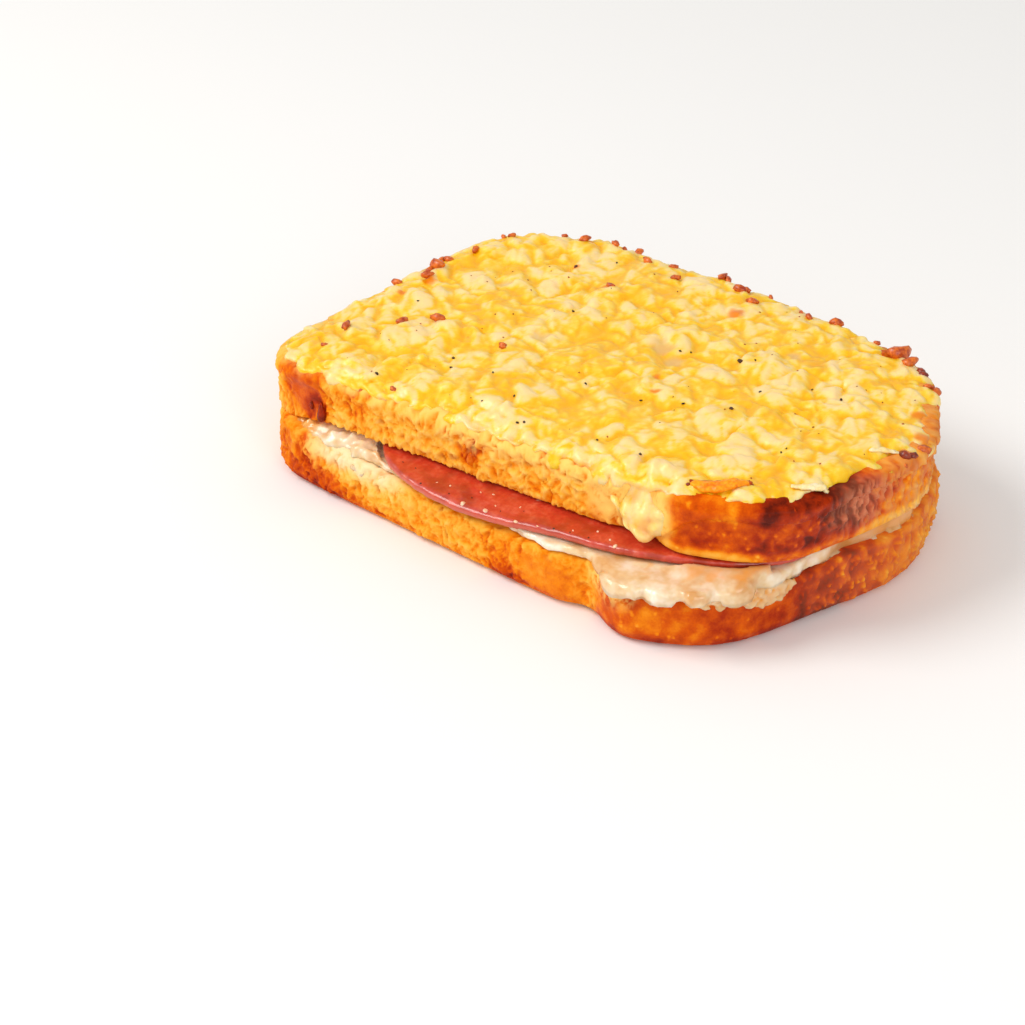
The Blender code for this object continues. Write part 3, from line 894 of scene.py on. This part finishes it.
cheeseStyle = {
    "grid": 0.92,
    "bury": 2.2,
    "rounds": 5,
    "lastRounds": 4,
    "seed": 5,
    "blend": 0.42,
    # how wide the calm areas are, and how much of the relief is lost in them, in thin places and in flows
    "calmWidth": 15.0,
    "calm": 0.45,
    "thinFlat": 0.6,
    "flowFlat": 0.6,
    "thinShare": 0.62,
    # how deep the thin and the deep places lie
    "thinDepth": 0.5,
    "deepDepth": 0.3,
    # below its edge the skirt is drawn back into the bread, inwards and down
    "skirtIn": 2.4,
    "skirtDown": 1.2,
    # middle, span and softness of the range in which the paleness stays
    "paleRange": (0.56, 0.48, 0.5),
    "waistPale": 0.84,
    "waves": (0.7, 12.0),
    # lumps the shreds melt into: width, height, how much their paleness differs, from lump to lump and as a
    # painted highlight that makes each lump paler in its middle
    "domes": [(9.5, 1.3, 0.30), (5.0, 0.75, 0.36), (2.6, 0.18, 0.20), (1.4, 0.05, 0.12)],
    "fibres": (6.0, 0.08, 0.30),
    # the shreds were strewn mostly this way, and their lumps are this much longer along it
    "strewn": (-0.615, 0.789, 1.45),
    # flows over the front where the slice has its waist: path, half widths
    "flows": [
        ([(41, -35, 33.2), (40.6, -39.2, 31.6), (40.2, -41.4, 27), (39.8, -41.6, 24)], (3.2, 2.6, 2.2, 1.4)),
        ([(37.5, -35, 33), (37, -39.3, 31.4), (36.2, -41.8, 26), (35.6, -42.2, 22), (35.2, -41.8, 19.4)],
         (3.6, 3.2, 3.2, 3.0, 2.0)),
        ([(33.5, -35, 32.5), (32.6, -39.4, 31), (31.6, -41.2, 25.4), (31.6, -41.5, 21.0)],
         (3.6, 3.4, 3.2, 2.0)),
        ([(29, -36, 32.5), (28.2, -40.2, 31), (27.6, -41.5, 25.2)], (3.4, 3.0, 1.6)),
        ([(24, -37, 32), (23.6, -41.4, 30.8), (23.4, -42.2, 28)], (2.8, 2.0, 1.0)),
        ([(12, -38, 32), (11.6, -42.0, 30.8), (11.4, -42.7, 28)], (2.6, 1.8, 0.9)),
    ],
    "strokes": [
        {"count": 110, "half": (0.8, 3.5), "width": (2.0, 3.6), "rise": (0.3, 0.7), "lift": (-0.2, 0.1),
         "pale": (0.2, 0.8), "bend": 0.3, "tilt": 0.2, "edge": False},
        {"count": 120, "half": (1.2, 3.6), "width": (1.3, 2.0), "rise": (0.15, 0.35), "lift": (-0.1, 0.1),
         "pale": (0.4, 1.0), "bend": 0.6, "tilt": 0.0, "edge": False},
        {"count": 90, "half": (0.0, 1.0), "width": (1.3, 2.0), "rise": (0.15, 0.35), "lift": (-0.1, 0.1),
         "pale": (0.0, 0.9), "bend": 0.0, "tilt": 0.0, "edge": False},
        {"count": 120, "half": (1.5, 4.0), "width": (1.0, 1.8), "rise": (0.2, 0.5), "lift": (0.0, 0.3),
         "pale": (0.4, 1.0), "bend": 0.2, "tilt": 0.1, "edge": True},
    ],
    # thin places where the bread greys the cheese: place on the slice, reach
    "thin": [((-23.4, -1.9), 3.2), ((3.0, 10.5), 3.6), ((9.0, 7.0), 3.4), ((-48, 16), 2.5), ((30, 24), 2.5)],
    # small places that caught the heat
    "toasted": [((7.3, 34.1), 2.4), ((-39.4, 33.5), 1.6), ((-26.7, 27.1), 1.8), ((-65.4, -2.7), 1.4),
                ((-63.9, 6.5), 2.4), ((72.8, 9.5), 3.0), ((67.5, 17.5), 2.8), ((15.1, -9.5), 1.2),
                ((10.7, -2.8), 1.4)],
    "deep": [((-35, -26), 5.5), ((35, -6), 6.0), ((-8, -12), 5.0), ((50, 2), 4.0)],
}


def cheeseMaterial():
    look = {"Roughness": 0.34, "Specular IOR Level": 0.45, "Specular Tint": (1.0, 0.9, 0.65, 1.0),
            "Subsurface Weight": 0.5, "Subsurface Scale": 0.004, "Subsurface Radius": (1.0, 0.7, 0.25),
            "Coat Weight": 0.14, "Coat Roughness": 0.08}
    material, tree, shader = newMaterial("meltedCheese", look)
    value, height = placeGrain(tree, 4.0, 0.8)
    speckle = swing(tree, value, 0.45)
    # the pale mask carries the cheese's own tones and painted light: lump middles paler, low places deeper
    # yellow
    pale = calc(tree, "ADD", maskOf(tree, "pale"), speckle)
    melt = colourRamp(tree, pale, [
        (0.0, tone(248, 172, 0)),
        (0.2, tone(250, 189, 3)),
        (0.45, tone(251, 204, 62)),
        (0.7, tone(252, 211, 122)),
        (1.0, tone(251, 215, 150)),
    ])
    melt = blendColours(tree, maskOf(tree, "thin"), melt, tone(220, 184, 132))
    melt = blendColours(tree, maskOf(tree, "toast"), melt, tone(236, 132, 6))
    tree.links.new(melt, shader.inputs["Base Color"])
    putBump(tree, shader, height, 0.25, 0.4)
    return material


def burySkirt(bm, slab, depth):
    # the face of the topping that lies on the bread goes into it, so that the layer is nowhere thin
    under = skinTree(slab)
    for vert in bm.verts:
        place, normal, _, far = under.find_nearest(vert.co)
        if far < 0.0006:
            vert.co = place - normal * depth * mm
    return bm


def layStrokes(points, normals, edgeReach, style, chooser):
    # shreds and lumps of melted cheese laid over each other: the height they add, and how pale they are
    tree = pointTree(points)
    warped = bent(points, 2.4, 0.75, 91)
    blend = style["blend"]
    total = np.ones(len(points))
    paleSum = np.full(len(points), 0.15)
    tops = np.flatnonzero(normals[:, 2] > 0.2)
    rims = np.flatnonzero((normals[:, 2] > 0.0) & (edgeReach < 7))
    for group in style["strokes"]:
        for _ in range(group["count"]):
            middle = chooser.choice(rims if group["edge"] else tops)
            centre, up = points[middle], normals[middle]
            half, width, rise, lift, pale = (
                chooser.uniform(*group[key]) for key in ("half", "width", "rise", "lift", "pale"))
            turn = chooser.uniform(0, math.tau)
            if group["edge"]:
                turn = math.atan2(centre[1], centre[0]) + chooser.uniform(-0.5, 0.5)
            bend = chooser.uniform(-1, 1) * group["bend"]
            tilt = chooser.uniform(-1, 1) * group["tilt"]
            near = np.array([found[1] for found in tree.find_range(centre, half + width)])
            near = near[normals[near] @ up > 0.3]
            along = np.array([math.cos(turn), math.sin(turn), 0.0])
            along -= up * (along @ up)
            along /= np.linalg.norm(along)
            offset = warped[near] - centre
            run = offset @ along
            side = offset @ np.cross(up, along) - bend * (run ** 2 / max(half, 1.0) - half * 0.3)
            run = np.maximum(np.abs(run) - half, 0)
            far = (run ** 2 + side ** 2) / width ** 2
            inside = far < 1
            chosen = near[inside]
            height = lift + rise * (1 - far[inside]) ** 1.2 + tilt * side[inside] / width * (1 - far[inside])
            weight = np.exp(height / blend) - np.exp(lift / blend) * far[inside]
            weight = np.maximum(weight, 0)
            total[chosen] += weight
            paleSum[chosen] += weight * pale
    return np.log(total) * blend, paleSum / total


def fibreLines(points, size, seed):
    # fine lines that keep one direction over each lump
    near, second, pick = cells(points, size, seed)
    angle = pick * math.pi
    run = points[:, 0] * np.cos(angle) + points[:, 1] * np.sin(angle)
    side = points[:, 1] * np.cos(angle) - points[:, 0] * np.sin(angle)
    lines = softNoise(np.stack([run / 4.0, side / 0.95, points[:, 2] / 2.5], axis=1), 1.0, seed + 1)
    return lines * smoothStep(0.0, 0.25, second - near)


def strewn(points, style):
    # the points drawn together along the way the cheese was strewn, for patterns that are longer that way
    x, y, longer = style["strewn"]
    way = np.array([x, y, 0.0])
    along = points @ way
    return points - (along * (1 - 1 / longer))[:, None] * way


def flatSpots(points, rows):
    found = np.zeros(len(points))
    for (x, y), reach in rows:
        found = np.maximum(found, patch(points * (1, 1, 0), (x, y, 0), (reach, reach, 1)))
    return found


def cheeseTopping():
    style = cheeseStyle
    bm = burySkirt(mergedCopy("cheese_topping"), mergedCopy("bread_upper"), style["bury"])
    for path, widths in style["flows"]:
        strand(bm, path, widths, 10)
    piece = newPiece("cheeseTopping", bm)
    evenSkin(piece, style["grid"], style["rounds"])
    refine(piece, normalsOf(piece)[:, 2] > -0.25, 2)
    points, normals = pointsOf(piece), normalsOf(piece)
    edgeReach = rimReach(points, normals)
    height, pale = layStrokes(points, normals, edgeReach, style, random.Random(style["seed"]))
    thin = flatSpots(bent(points, 3.5, 1.2, 95), style["thin"])
    toast = flatSpots(bent(points, 2.5, 1.0, 96), style["toasted"])
    deep = flatSpots(bent(points, 4, 1.5, 97), style["deep"])
    shown = smoothStep(-0.6, -0.1, normals[:, 2])
    wave, reach = style["waves"]
    loose = bent(strewn(points, style), 5.0, 1.6, 111)
    litTopsAndTone = np.zeros(len(points))
    for step, (size, rise, share) in enumerate(style["domes"]):
        near, second, pick = cells(bent(loose, size, 0.2 * size, 130 + 5 * step), size, 120 + step)
        gap = np.clip((second - near) / 0.55, 0, 1)
        height = height + rise * (np.sqrt(gap) - 0.6) * (0.6 + 0.8 * pick)
        # each lump gets its own tone, and painted light: paler towards its middle, where it rises, and deeper
        # yellow towards its rim
        litTopsAndTone += share * (1.0 * (pick - 0.5) + 1.3 * (smoothStep(0.0, 0.6, gap) - 0.6))
    size, rise, share = style["fibres"]
    lines = fibreLines(bent(points, 3.0, 0.8, 115), size, 116)
    height += rise * lines
    litTopsAndTone += share * lines + 0.55 * softNoise(loose, 7.0, 104) + 0.30 * softNoise(loose, 2.5, 105)
    runs = np.zeros(len(points))
    for path, _ in style["flows"]:
        for spot in path[1:]:
            runs = np.maximum(runs, patch(points, spot, (4.6, 4.6, 5.0)))
    runs *= smoothStep(0.8, 0.4, normals[:, 2])
    waist = runs * smoothStep(24, 28, points[:, 0])
    calm = smoothStep(0.0, 0.7, softNoise(points, style["calmWidth"], 140))
    height = height * (1 - style["thinFlat"] * thin) * (1 - style["flowFlat"] * runs)
    height = height * (1 - style["calm"] * calm)
    height += wave * softNoise(points, reach, 98) + 0.06 * softNoise(points, 1.2, 99)
    height += 0.25 * runs * (ridges(points, (1.6, 1.6, 7.0), 112) - 0.4)
    height = height - height[normals[:, 2] > 0.5].mean()
    height = (height - style["thinDepth"] * thin - style["deepDepth"] * deep) * shown
    line = edgeLine(points)
    nearLine = smoothStep(3.0, 1.0, edgeReach) * smoothStep(line + 2.0, line, points[:, 2])
    height *= 1 - 0.8 * nearLine * (1 - runs)
    moved = points + normals * height[:, None]

    # below its edge the skirt goes back into the bread, but for the flows
    inward = smoothStep(line + 0.4, line - 0.5, points[:, 2]) * smoothStep(4.5, 3.0, edgeReach)
    inward *= smoothStep(-0.9, -0.6, normals[:, 2]) * (1 - smoothStep(0.5, 0.9, runs))
    middle = points * (1, 1, 0)
    moved -= middle / np.linalg.norm(middle, axis=1)[:, None] * (style["skirtIn"] * inward)[:, None]
    moved[:, 2] -= style["skirtDown"] * inward
    movePoints(piece, moved)
    meltFacets(piece, style["lastRounds"])

    low = smoothStep(0.0, -1.1, height)
    rimToast = smoothStep(2.6, 0.8, edgeReach) * smoothStep(line + 1.6, line, points[:, 2]) * (1 - runs)
    more = 0.25 * (points[:, 1] > 0) + 0.2 * (points[:, 0] < -66)
    rimToast *= smoothStep(-0.2, 0.5, softNoise(points, 5, 103) + more)
    # low places are made less pale as painted shade; the deep places are less pale as well
    pale = 0.66 + 0.45 * (pale - 0.5) + litTopsAndTone - 0.3 * low - 0.25 * deep
    centre, span, softness = style["paleRange"]
    pale = centre + span * np.tanh((pale - centre) / softness)
    keepMask(piece, "pale", pale + (style["waistPale"] + 0.15 * litTopsAndTone - pale) * waist)
    keepMask(piece, "thin", thin * style["thinShare"])
    keepMask(piece, "toast", np.maximum(toast, 0.7 * rimToast))
    finishPiece(piece, cheeseMaterial(), ["cheese_topping"])
    return piece


cheese = cheeseTopping()


onCheese = treeOf(cheese)
onUpper = treeOf(upper)
onLower = treeOf(lower)
onHam = treeOf(ham)


def crispMaterial(materialName, dark, light, size, look):
    material, tree, shader = newMaterial(materialName, look)
    value, height = placeGrain(tree, size, 2.4)
    tree.links.new(colourRamp(tree, value, [(0.15, dark), (0.85, light)]), shader.inputs["Base Color"])
    putBump(tree, shader, height, 0.5, 0.2)
    return material


pepperStyle = {
    # place on the slice, half width
    "large": [(22.4, 13.7, 0.72), (25.2, 15.4, 0.3), (33.0, -6.1, 0.52), (22.4, -9.4, 0.36),
              (13.6, -13.2, 0.3), (-0.7, -14.5, 0.34), (-24.5, 12.5, 0.38), (-32.4, 41.1, 0.36),
              (-39.4, 33.5, 0.5), (34.3, 3.5, 0.32), (42.0, 13.1, 0.3), (50.1, 12.1, 0.42),
              (52.3, -15.8, 0.28), (52.6, -14.2, 0.24), (60.3, -31.6, 0.34), (-42.2, -38.7, 0.55),
              (-34.0, -21.2, 0.36), (-31.0, -25.6, 0.36), (-20.2, -23.7, 0.3), (-10.2, -28.7, 0.36),
              (-14.0, -35.5, 0.26), (-58.3, -4.7, 0.28), (-2.2, -37.9, 0.34), (-0.8, -37.2, 0.34),
              (16.5, -33.7, 0.32), (28.8, -34.8, 0.36), (7.5, 11.0, 0.3), (9.5, 12.5, 0.28)],
    "small": 70,
    "smallSize": (0.14, 0.34),
    # the field that the small ones fall in, and the rounded outline that they keep to
    "field": ((-70, 70), (-40, 46)),
    "outline": (72, 46, 0.9),
    "onHam": [(-29, -45.6, 0.3), (-20.5, -49.6, 0.3), (-12.5, -49.3, 0.3), (-25, -46, 0.22), (-7, -48, 0.26),
              (1.5, -48.6, 0.24), (15.5, -47.6, 0.3), (19.4, -47, 0.24), (24, -46.4, 0.28), (6, -46, 0.2)],
    "seed": 31,
}


def pepperSpecks():
    bm = bmesh.new()
    brown = bmesh.new()
    chooser = random.Random(pepperStyle["seed"])
    dropLumps(bm, onCheese, pepperStyle["large"], (1.0, 0.8, 0.6), chooser, 1, 0.3, grow=1.25, lift=0.25)
    acrossField, alongField = pepperStyle["field"]
    halfLength, halfWidth, limit = pepperStyle["outline"]
    made = 0
    while made < pepperStyle["small"]:
        x, y = chooser.uniform(*acrossField), chooser.uniform(*alongField)
        if (x / halfLength) ** 4 + (y / halfWidth) ** 4 < limit:
            spot = land(onCheese, x, y) or Vector((x, y, 30))
            lump(brown, spot, chooser.uniform(*pepperStyle["smallSize"]), (1.0, 0.7, 0.6), chooser, 1, 0.3)
            made += 1
    dropLumps(bm, onHam, pepperStyle["onHam"], (1.0, 0.8, 0.5), chooser, 1, 0.3)
    piece = newPiece("pepperSpecks", bm)
    look = {"Roughness": 0.6, "Specular IOR Level": 0.3}
    finishPiece(piece, crispMaterial("groundPepper", tone(34, 20, 14), tone(96, 62, 40), 0.6, look))
    piece = newPiece("brownSpecks", brown)
    scorched = crispMaterial("scorchedSpeck", tone(110, 30, 8), tone(196, 84, 20), 0.6, look)
    finishPiece(piece, scorched)


pepperSpecks()

rimStyle = {
    # angle round the slice, height, half width
    "bits": [(-156, 31.2, 0.8), (-158, 31.4, 1.0), (-162.5, 31.4, 1.2), (-165, 31.4, 0.8),
             (-169.2, 31.5, 1.2), (-177.5, 31.6, 1.5), (176.5, 31.6, 1.2), (173, 31.6, 0.9),
             (168.6, 31.6, 1.5), (161, 31.6, 1.1), (158, 31.6, 0.8), (138, 31.8, 1.6), (135, 31.8, 1.0),
             (97, 33.0, 1.0), (88.6, 33.2, 1.1), (80, 33.2, 0.9), (68, 33.4, 1.2), (62, 33.4, 1.5),
             (56.5, 33.4, 1.1), (38, 34.0, 2.2), (34, 33.6, 1.4), (25, 33.8, 1.4), (14, 33.8, 1.2),
             (5, 33.4, 1.5), (120, 32, 0.9), (110, 32.4, 0.8), (148, 31.6, 0.9), (-150, 30.5, 0.8)],
    "more": 46,
    "moreHeights": (29.5, 33.4),
    "moreSizes": (0.35, 0.9),
    # the angles of the far side, where the crisps stand out, and by how much; elsewhere they are sunk
    "farSide": (25, 205),
    "grow": 0.3,
    "standOut": 0.3,
    "sunk": 0.1,
    # how far in from the wall a place is still the rim
    "reach": 2.2,
    "seed": 41,
}


def rimBits():
    # browned crisps of cheese along the edge of the slice
    bm = bmesh.new()
    style = rimStyle
    chooser = random.Random(style["seed"])
    rows = list(style["bits"])
    for _ in range(style["more"]):
        angle = chooser.uniform(-10, 230)
        rows.append((angle, chooser.uniform(*style["moreHeights"]), chooser.uniform(*style["moreSizes"])))
    for angle, height, size in rows:
        spot, normal = lean(onCheese, angle, height)
        sunk = style["sunk"]
        if style["farSide"][0] < angle % 360 < style["farSide"][1]:
            # on the far side they stand out where the top rounds over
            tries = [lean(onCheese, angle, height + 0.25 * step) for step in range(20)]
            nearRim = [found for found in tries if found[0] and spot and found[1].z < 0.9
                       and (found[0] - spot).xy.length < style["reach"]]
            spot, normal = max(nearRim, key=lambda found: found[0].z, default=(spot, normal))
            size = style["grow"] + size
            sunk = -style["standOut"]
        if spot and normal.z < 0.9:
            lump(bm, spot - normal * size * sunk, size, (1.3, 0.8, 0.7), chooser, 2, 0.22)
    piece = newPiece("rimCrisps", bm)
    look = {"Roughness": 0.35, "Specular IOR Level": 0.4, "Coat Weight": 0.2, "Coat Roughness": 0.2}
    browned = crispMaterial("brownedCheese", tone(158, 44, 6), tone(236, 120, 26), 1.6, look)
    finishPiece(piece, browned)


rimBits()

dripStyle = {
    "grid": 0.22,
    "rounds": 4,
    # caramelised drips on the wall of the upper slice: angle round the slice, then heights and half widths
    "dark": [(-141.2, [(22.8, 0.3), (21.4, 0.7), (20.0, 1.1), (18.8, 1.2), (18.0, 0.9), (17.5, 0.4)]),
             (-142.8, [(22.2, 0.25), (21.0, 0.6), (20.0, 0.4)])],
    "amber": [(-105.0, [(24.6, 0.3), (23.6, 0.8), (22.6, 1.1), (21.7, 0.9), (21.2, 0.4)]),
              (-106.6, [(26.4, 0.3), (25.2, 0.6), (24.2, 0.3)])],
}


def wallDrips(pieceName, rows, dark, light):
    bm = bmesh.new()
    for angle, steps in rows:
        foot, normal = lean(onUpper, angle, steps[len(steps) // 2][0])
        foot += normal * 0.1
        path = [Vector((foot.x + 0.15 * math.sin(height), foot.y, height)) for height, _ in steps]
        strand(bm, path, [width for _, width in steps], 12)
    piece = newPiece(pieceName, bm)
    evenSkin(piece, dripStyle["grid"], dripStyle["rounds"])
    look = {"Roughness": 0.25, "Specular IOR Level": 0.2, "Specular Tint": (1.0, 0.6, 0.3, 1.0),
            "Coat Weight": 0.12, "Coat Roughness": 0.06}
    finishPiece(piece, crispMaterial(pieceName + "Skin", dark, light, 2.5, look))


wallDrips("darkDrips", dripStyle["dark"], tone(96, 16, 6), tone(170, 46, 10))
wallDrips("amberDrips", dripStyle["amber"], tone(202, 76, 2), tone(236, 132, 8))

shredStyle = {
    "grid": 0.25,
    "rounds": 3,
    "lift": 0.4,
    # loose shreds: places on the topping, half widths
    "pale": [([(61.5, -26.5), (64.4, -24.4), (66.8, -22.0), (68.2, -19.6)], (0.5, 1.2, 1.3, 0.5)),
             ([(66.8, -4.0), (69.2, -1.4), (71.6, 1.0)], (0.5, 1.0, 0.6))],
    "orange": [([(43.9, -38.0), (46.6, -37.2), (49.6, -35.8), (52.2, -33.9), (54.6, -31.8)],
                (0.7, 1.8, 2.1, 1.7, 0.7))],
    "brown": [([(43.6, -37.8), (46.4, -36.0), (49.6, -34.3), (52.2, -32.6), (54.9, -31.0)],
               (0.7, 0.6, 0.5, 0.7, 0.8))],
    # burnt tips: place, half width
    "burnt": [(72.9, 1.2, 1.5), (74.2, 2.6, 1.1), (43.6, -38.2, 0.55), (54.9, -31.2, 0.6),
              (57.1, 35.4, 1.5), (58.3, 34.2, 1.2), (-39.4, 33.5, 0.6)],
    "seed": 61,
}


def roughen(piece, *layers):
    # moves the points along their normals by noises of a given height, width and seed
    points, normals = pointsOf(piece), normalsOf(piece)
    height = sum(rise * softNoise(points, size, seed) for rise, size, seed in layers)
    movePoints(piece, points + normals * height[:, None])
    return height


def topShreds(pieceName, rows, material):
    bm = bmesh.new()
    lift = Vector((0, 0, shredStyle["lift"]))
    for places, widths in rows:
        path = [(land(onCheese, x, y) or Vector((x, y, 31))) + lift for x, y in places]
        strand(bm, path, widths, 10, (1.0, 0.5))
    piece = newPiece(pieceName, bm)
    evenSkin(piece, shredStyle["grid"], shredStyle["rounds"])
    roughen(piece, (0.25, 1.3, 62), (0.1, 0.6, 63))
    finishPiece(piece, material)


def burntTips():
    bm = bmesh.new()
    chooser = random.Random(shredStyle["seed"])
    for x, y, size in shredStyle["burnt"]:
        spots = [spot for spot in (land(onCheese, x, y), land(onUpper, x, y)) if spot]
        if spots:
            lump(bm, max(spots, key=lambda spot: spot.z), size, (1.0, 0.8, 0.7), chooser, 2, 0.14)
    piece = newPiece("burntTips", bm)
    look = {"Roughness": 0.3, "Specular IOR Level": 0.4, "Coat Weight": 0.3, "Coat Roughness": 0.1}
    finishPiece(piece, crispMaterial("burntCheese", tone(96, 24, 8), tone(176, 62, 16), 1.6, look))


paleLook = {"Roughness": 0.3, "Specular IOR Level": 0.45, "Subsurface Weight": 0.4, "Subsurface Scale": 0.002,
            "Subsurface Radius": (1.0, 0.7, 0.3), "Coat Weight": 0.25, "Coat Roughness": 0.1}
crispLook = {"Roughness": 0.35, "Specular IOR Level": 0.15, "Coat Weight": 0.1, "Coat Roughness": 0.1}
topShreds("paleShreds", shredStyle["pale"],
          crispMaterial("paleCheese", tone(248, 206, 120), tone(254, 234, 190), 2.0, paleLook))
topShreds("orangeShreds", shredStyle["orange"],
          crispMaterial("orangeCheese", tone(236, 112, 2), tone(253, 172, 26), 1.4, crispLook))
topShreds("brownShreds", shredStyle["brown"],
          crispMaterial("brownCheese", tone(140, 36, 8), tone(204, 84, 10), 1.4, crispLook))
burntTips()

smearStyle = {
    "grid": 0.3,
    "rounds": 3,
    # angle round the slice, height, half width, of the sauce run down over the lower crown
    "runs": [
        [(-42, 12.0, 1.0), (-38, 12.1, 1.6), (-34, 12.1, 2.1), (-30, 12.0, 2.2), (-26, 12.0, 1.9),
         (-22, 12.1, 1.2)],
        [(-33, 10.4, 0.7), (-30, 10.0, 1.1), (-27, 9.8, 1.0), (-24.5, 10.0, 0.6)],
        [(-133, 11.6, 0.4), (-131, 11.2, 0.9), (-129, 11.0, 0.5)],
    ],
}


def sauceSmear():
    bm = bmesh.new()
    for rows in smearStyle["runs"]:
        path = []
        for angle, height, _ in rows:
            spot, normal = lean(onLower, angle, height)
            path.append(spot - normal * 0.2)
        strand(bm, path, [width for _, _, width in rows], 12, (0.5, 1.0))
    piece = newPiece("sauceSmear", bm)
    evenSkin(piece, smearStyle["grid"], smearStyle["rounds"])
    height = roughen(piece, (0.5, 1.6, 131), (0.25, 0.9, 132))
    # a golden tone over the whole smear, stronger in its hollows as painted shade
    keepMask(piece, "toast", smoothStep(0.1, -0.5, height) + 0.2)
    keepMask(piece, "shade", 0.2 + 0 * height)
    finishPiece(piece, cream)


sauceSmear()

fleckStyle = {
    # place on the ham, half width
    "flecks": [(-7.6, -50.4, 0.75), (-1.6, -49.9, 0.8), (6.6, -49.6, 0.6), (30.6, -45.8, 0.7),
               (-3.4, -44.8, 0.4), (-6.4, -45.6, 0.35), (4.6, -45.4, 0.35), (-14, -47, 0.35),
               (-0.6, -47.6, 0.35), (24.4, -43.6, 0.4), (19.6, -46.2, 0.35), (28.4, -44.6, 0.4),
               (11.8, -48.6, 0.35), (-17.4, -47.6, 0.3)],
    "sink": 0.1,
    "seed": 51,
}


def fatFlecks():
    bm = bmesh.new()
    chooser = random.Random(fleckStyle["seed"])
    dropLumps(bm, onHam, fleckStyle["flecks"], (1.0, 0.8, 0.55), chooser, 2, 0.12, sink=fleckStyle["sink"])
    piece = newPiece("fatFlecks", bm)
    look = {"Roughness": 0.3, "Specular IOR Level": 0.5, "Subsurface Weight": 0.3, "Subsurface Scale": 0.001}
    finishPiece(piece, crispMaterial("hamFat", tone(236, 168, 132), tone(252, 222, 190), 1.2, look))


fatFlecks()


studioStyle = {
    "place": (0.290865, -0.41466, 0.3081),
    "aim": (-0.012735, -0.02606, 0.0),
    "lens": 87.8,
    # lights: name, place, size, power, colour
    "lights": [("key", (-0.55, -0.5, 0.8), 0.6, 6.4, (1.0, 0.98, 0.95)),
               ("fill", (0.7, -0.5, 0.5), 0.6, 2.6, (1.0, 1.0, 1.0))],
    "lightAim": (0, 0, 0.02),
    "sky": (1.0, 0.99, 0.97, 1),
    "skyStrength": 0.65,
    "floorDark": (0.88, 0.87, 0.86, 1),
    "floorLight": (0.92, 0.915, 0.91, 1),
}


def placeCamera():
    data = bpy.data.cameras.new("camera")
    data.lens = studioStyle["lens"]
    data.sensor_width = 36
    data.clip_start = 0.01
    camera = bpy.data.objects.new("camera", data)
    scene.collection.objects.link(camera)
    place, aim = Vector(studioStyle["place"]), Vector(studioStyle["aim"])
    camera.location = place
    camera.rotation_euler = (aim - place).to_track_quat("-Z", "Y").to_euler()
    scene.camera = camera


def softLight(lightName, place, size, power, colour):
    data = bpy.data.lights.new(lightName, "AREA")
    data.shape = "DISK"
    data.size = size
    data.energy = power
    data.color = colour
    light = bpy.data.objects.new(lightName, data)
    scene.collection.objects.link(light)
    light.location = place
    aim = Vector(studioStyle["lightAim"])
    light.rotation_euler = (aim - Vector(place)).to_track_quat("-Z", "Y").to_euler()


def lightTheScene():
    world = bpy.data.worlds.new("studio")
    world.use_nodes = True
    sky = world.node_tree.nodes["Background"].inputs
    sky["Color"].default_value = studioStyle["sky"]
    sky["Strength"].default_value = studioStyle["skyStrength"]
    scene.world = world
    for row in studioStyle["lights"]:
        softLight(*row)
    scene.view_settings.view_transform = "Standard"


def layFloor():
    bm = bmesh.new()
    bmesh.ops.create_grid(bm, x_segments=4, y_segments=4, size=1.5)
    floor = newPiece("floor", bm)
    material, tree, shader = newMaterial("paleFloor", {"Roughness": 0.8, "Specular IOR Level": 0.2})
    value, _ = placeGrain(tree, 30.0, 0.1)
    pale = colourRamp(tree, value, [(0.0, studioStyle["floorDark"]), (1.0, studioStyle["floorLight"])])
    tree.links.new(pale, shader.inputs["Base Color"])
    floor.data.materials.append(material)


placeCamera()
lightTheScene()
layFloor()
print("camera, light and floor placed")
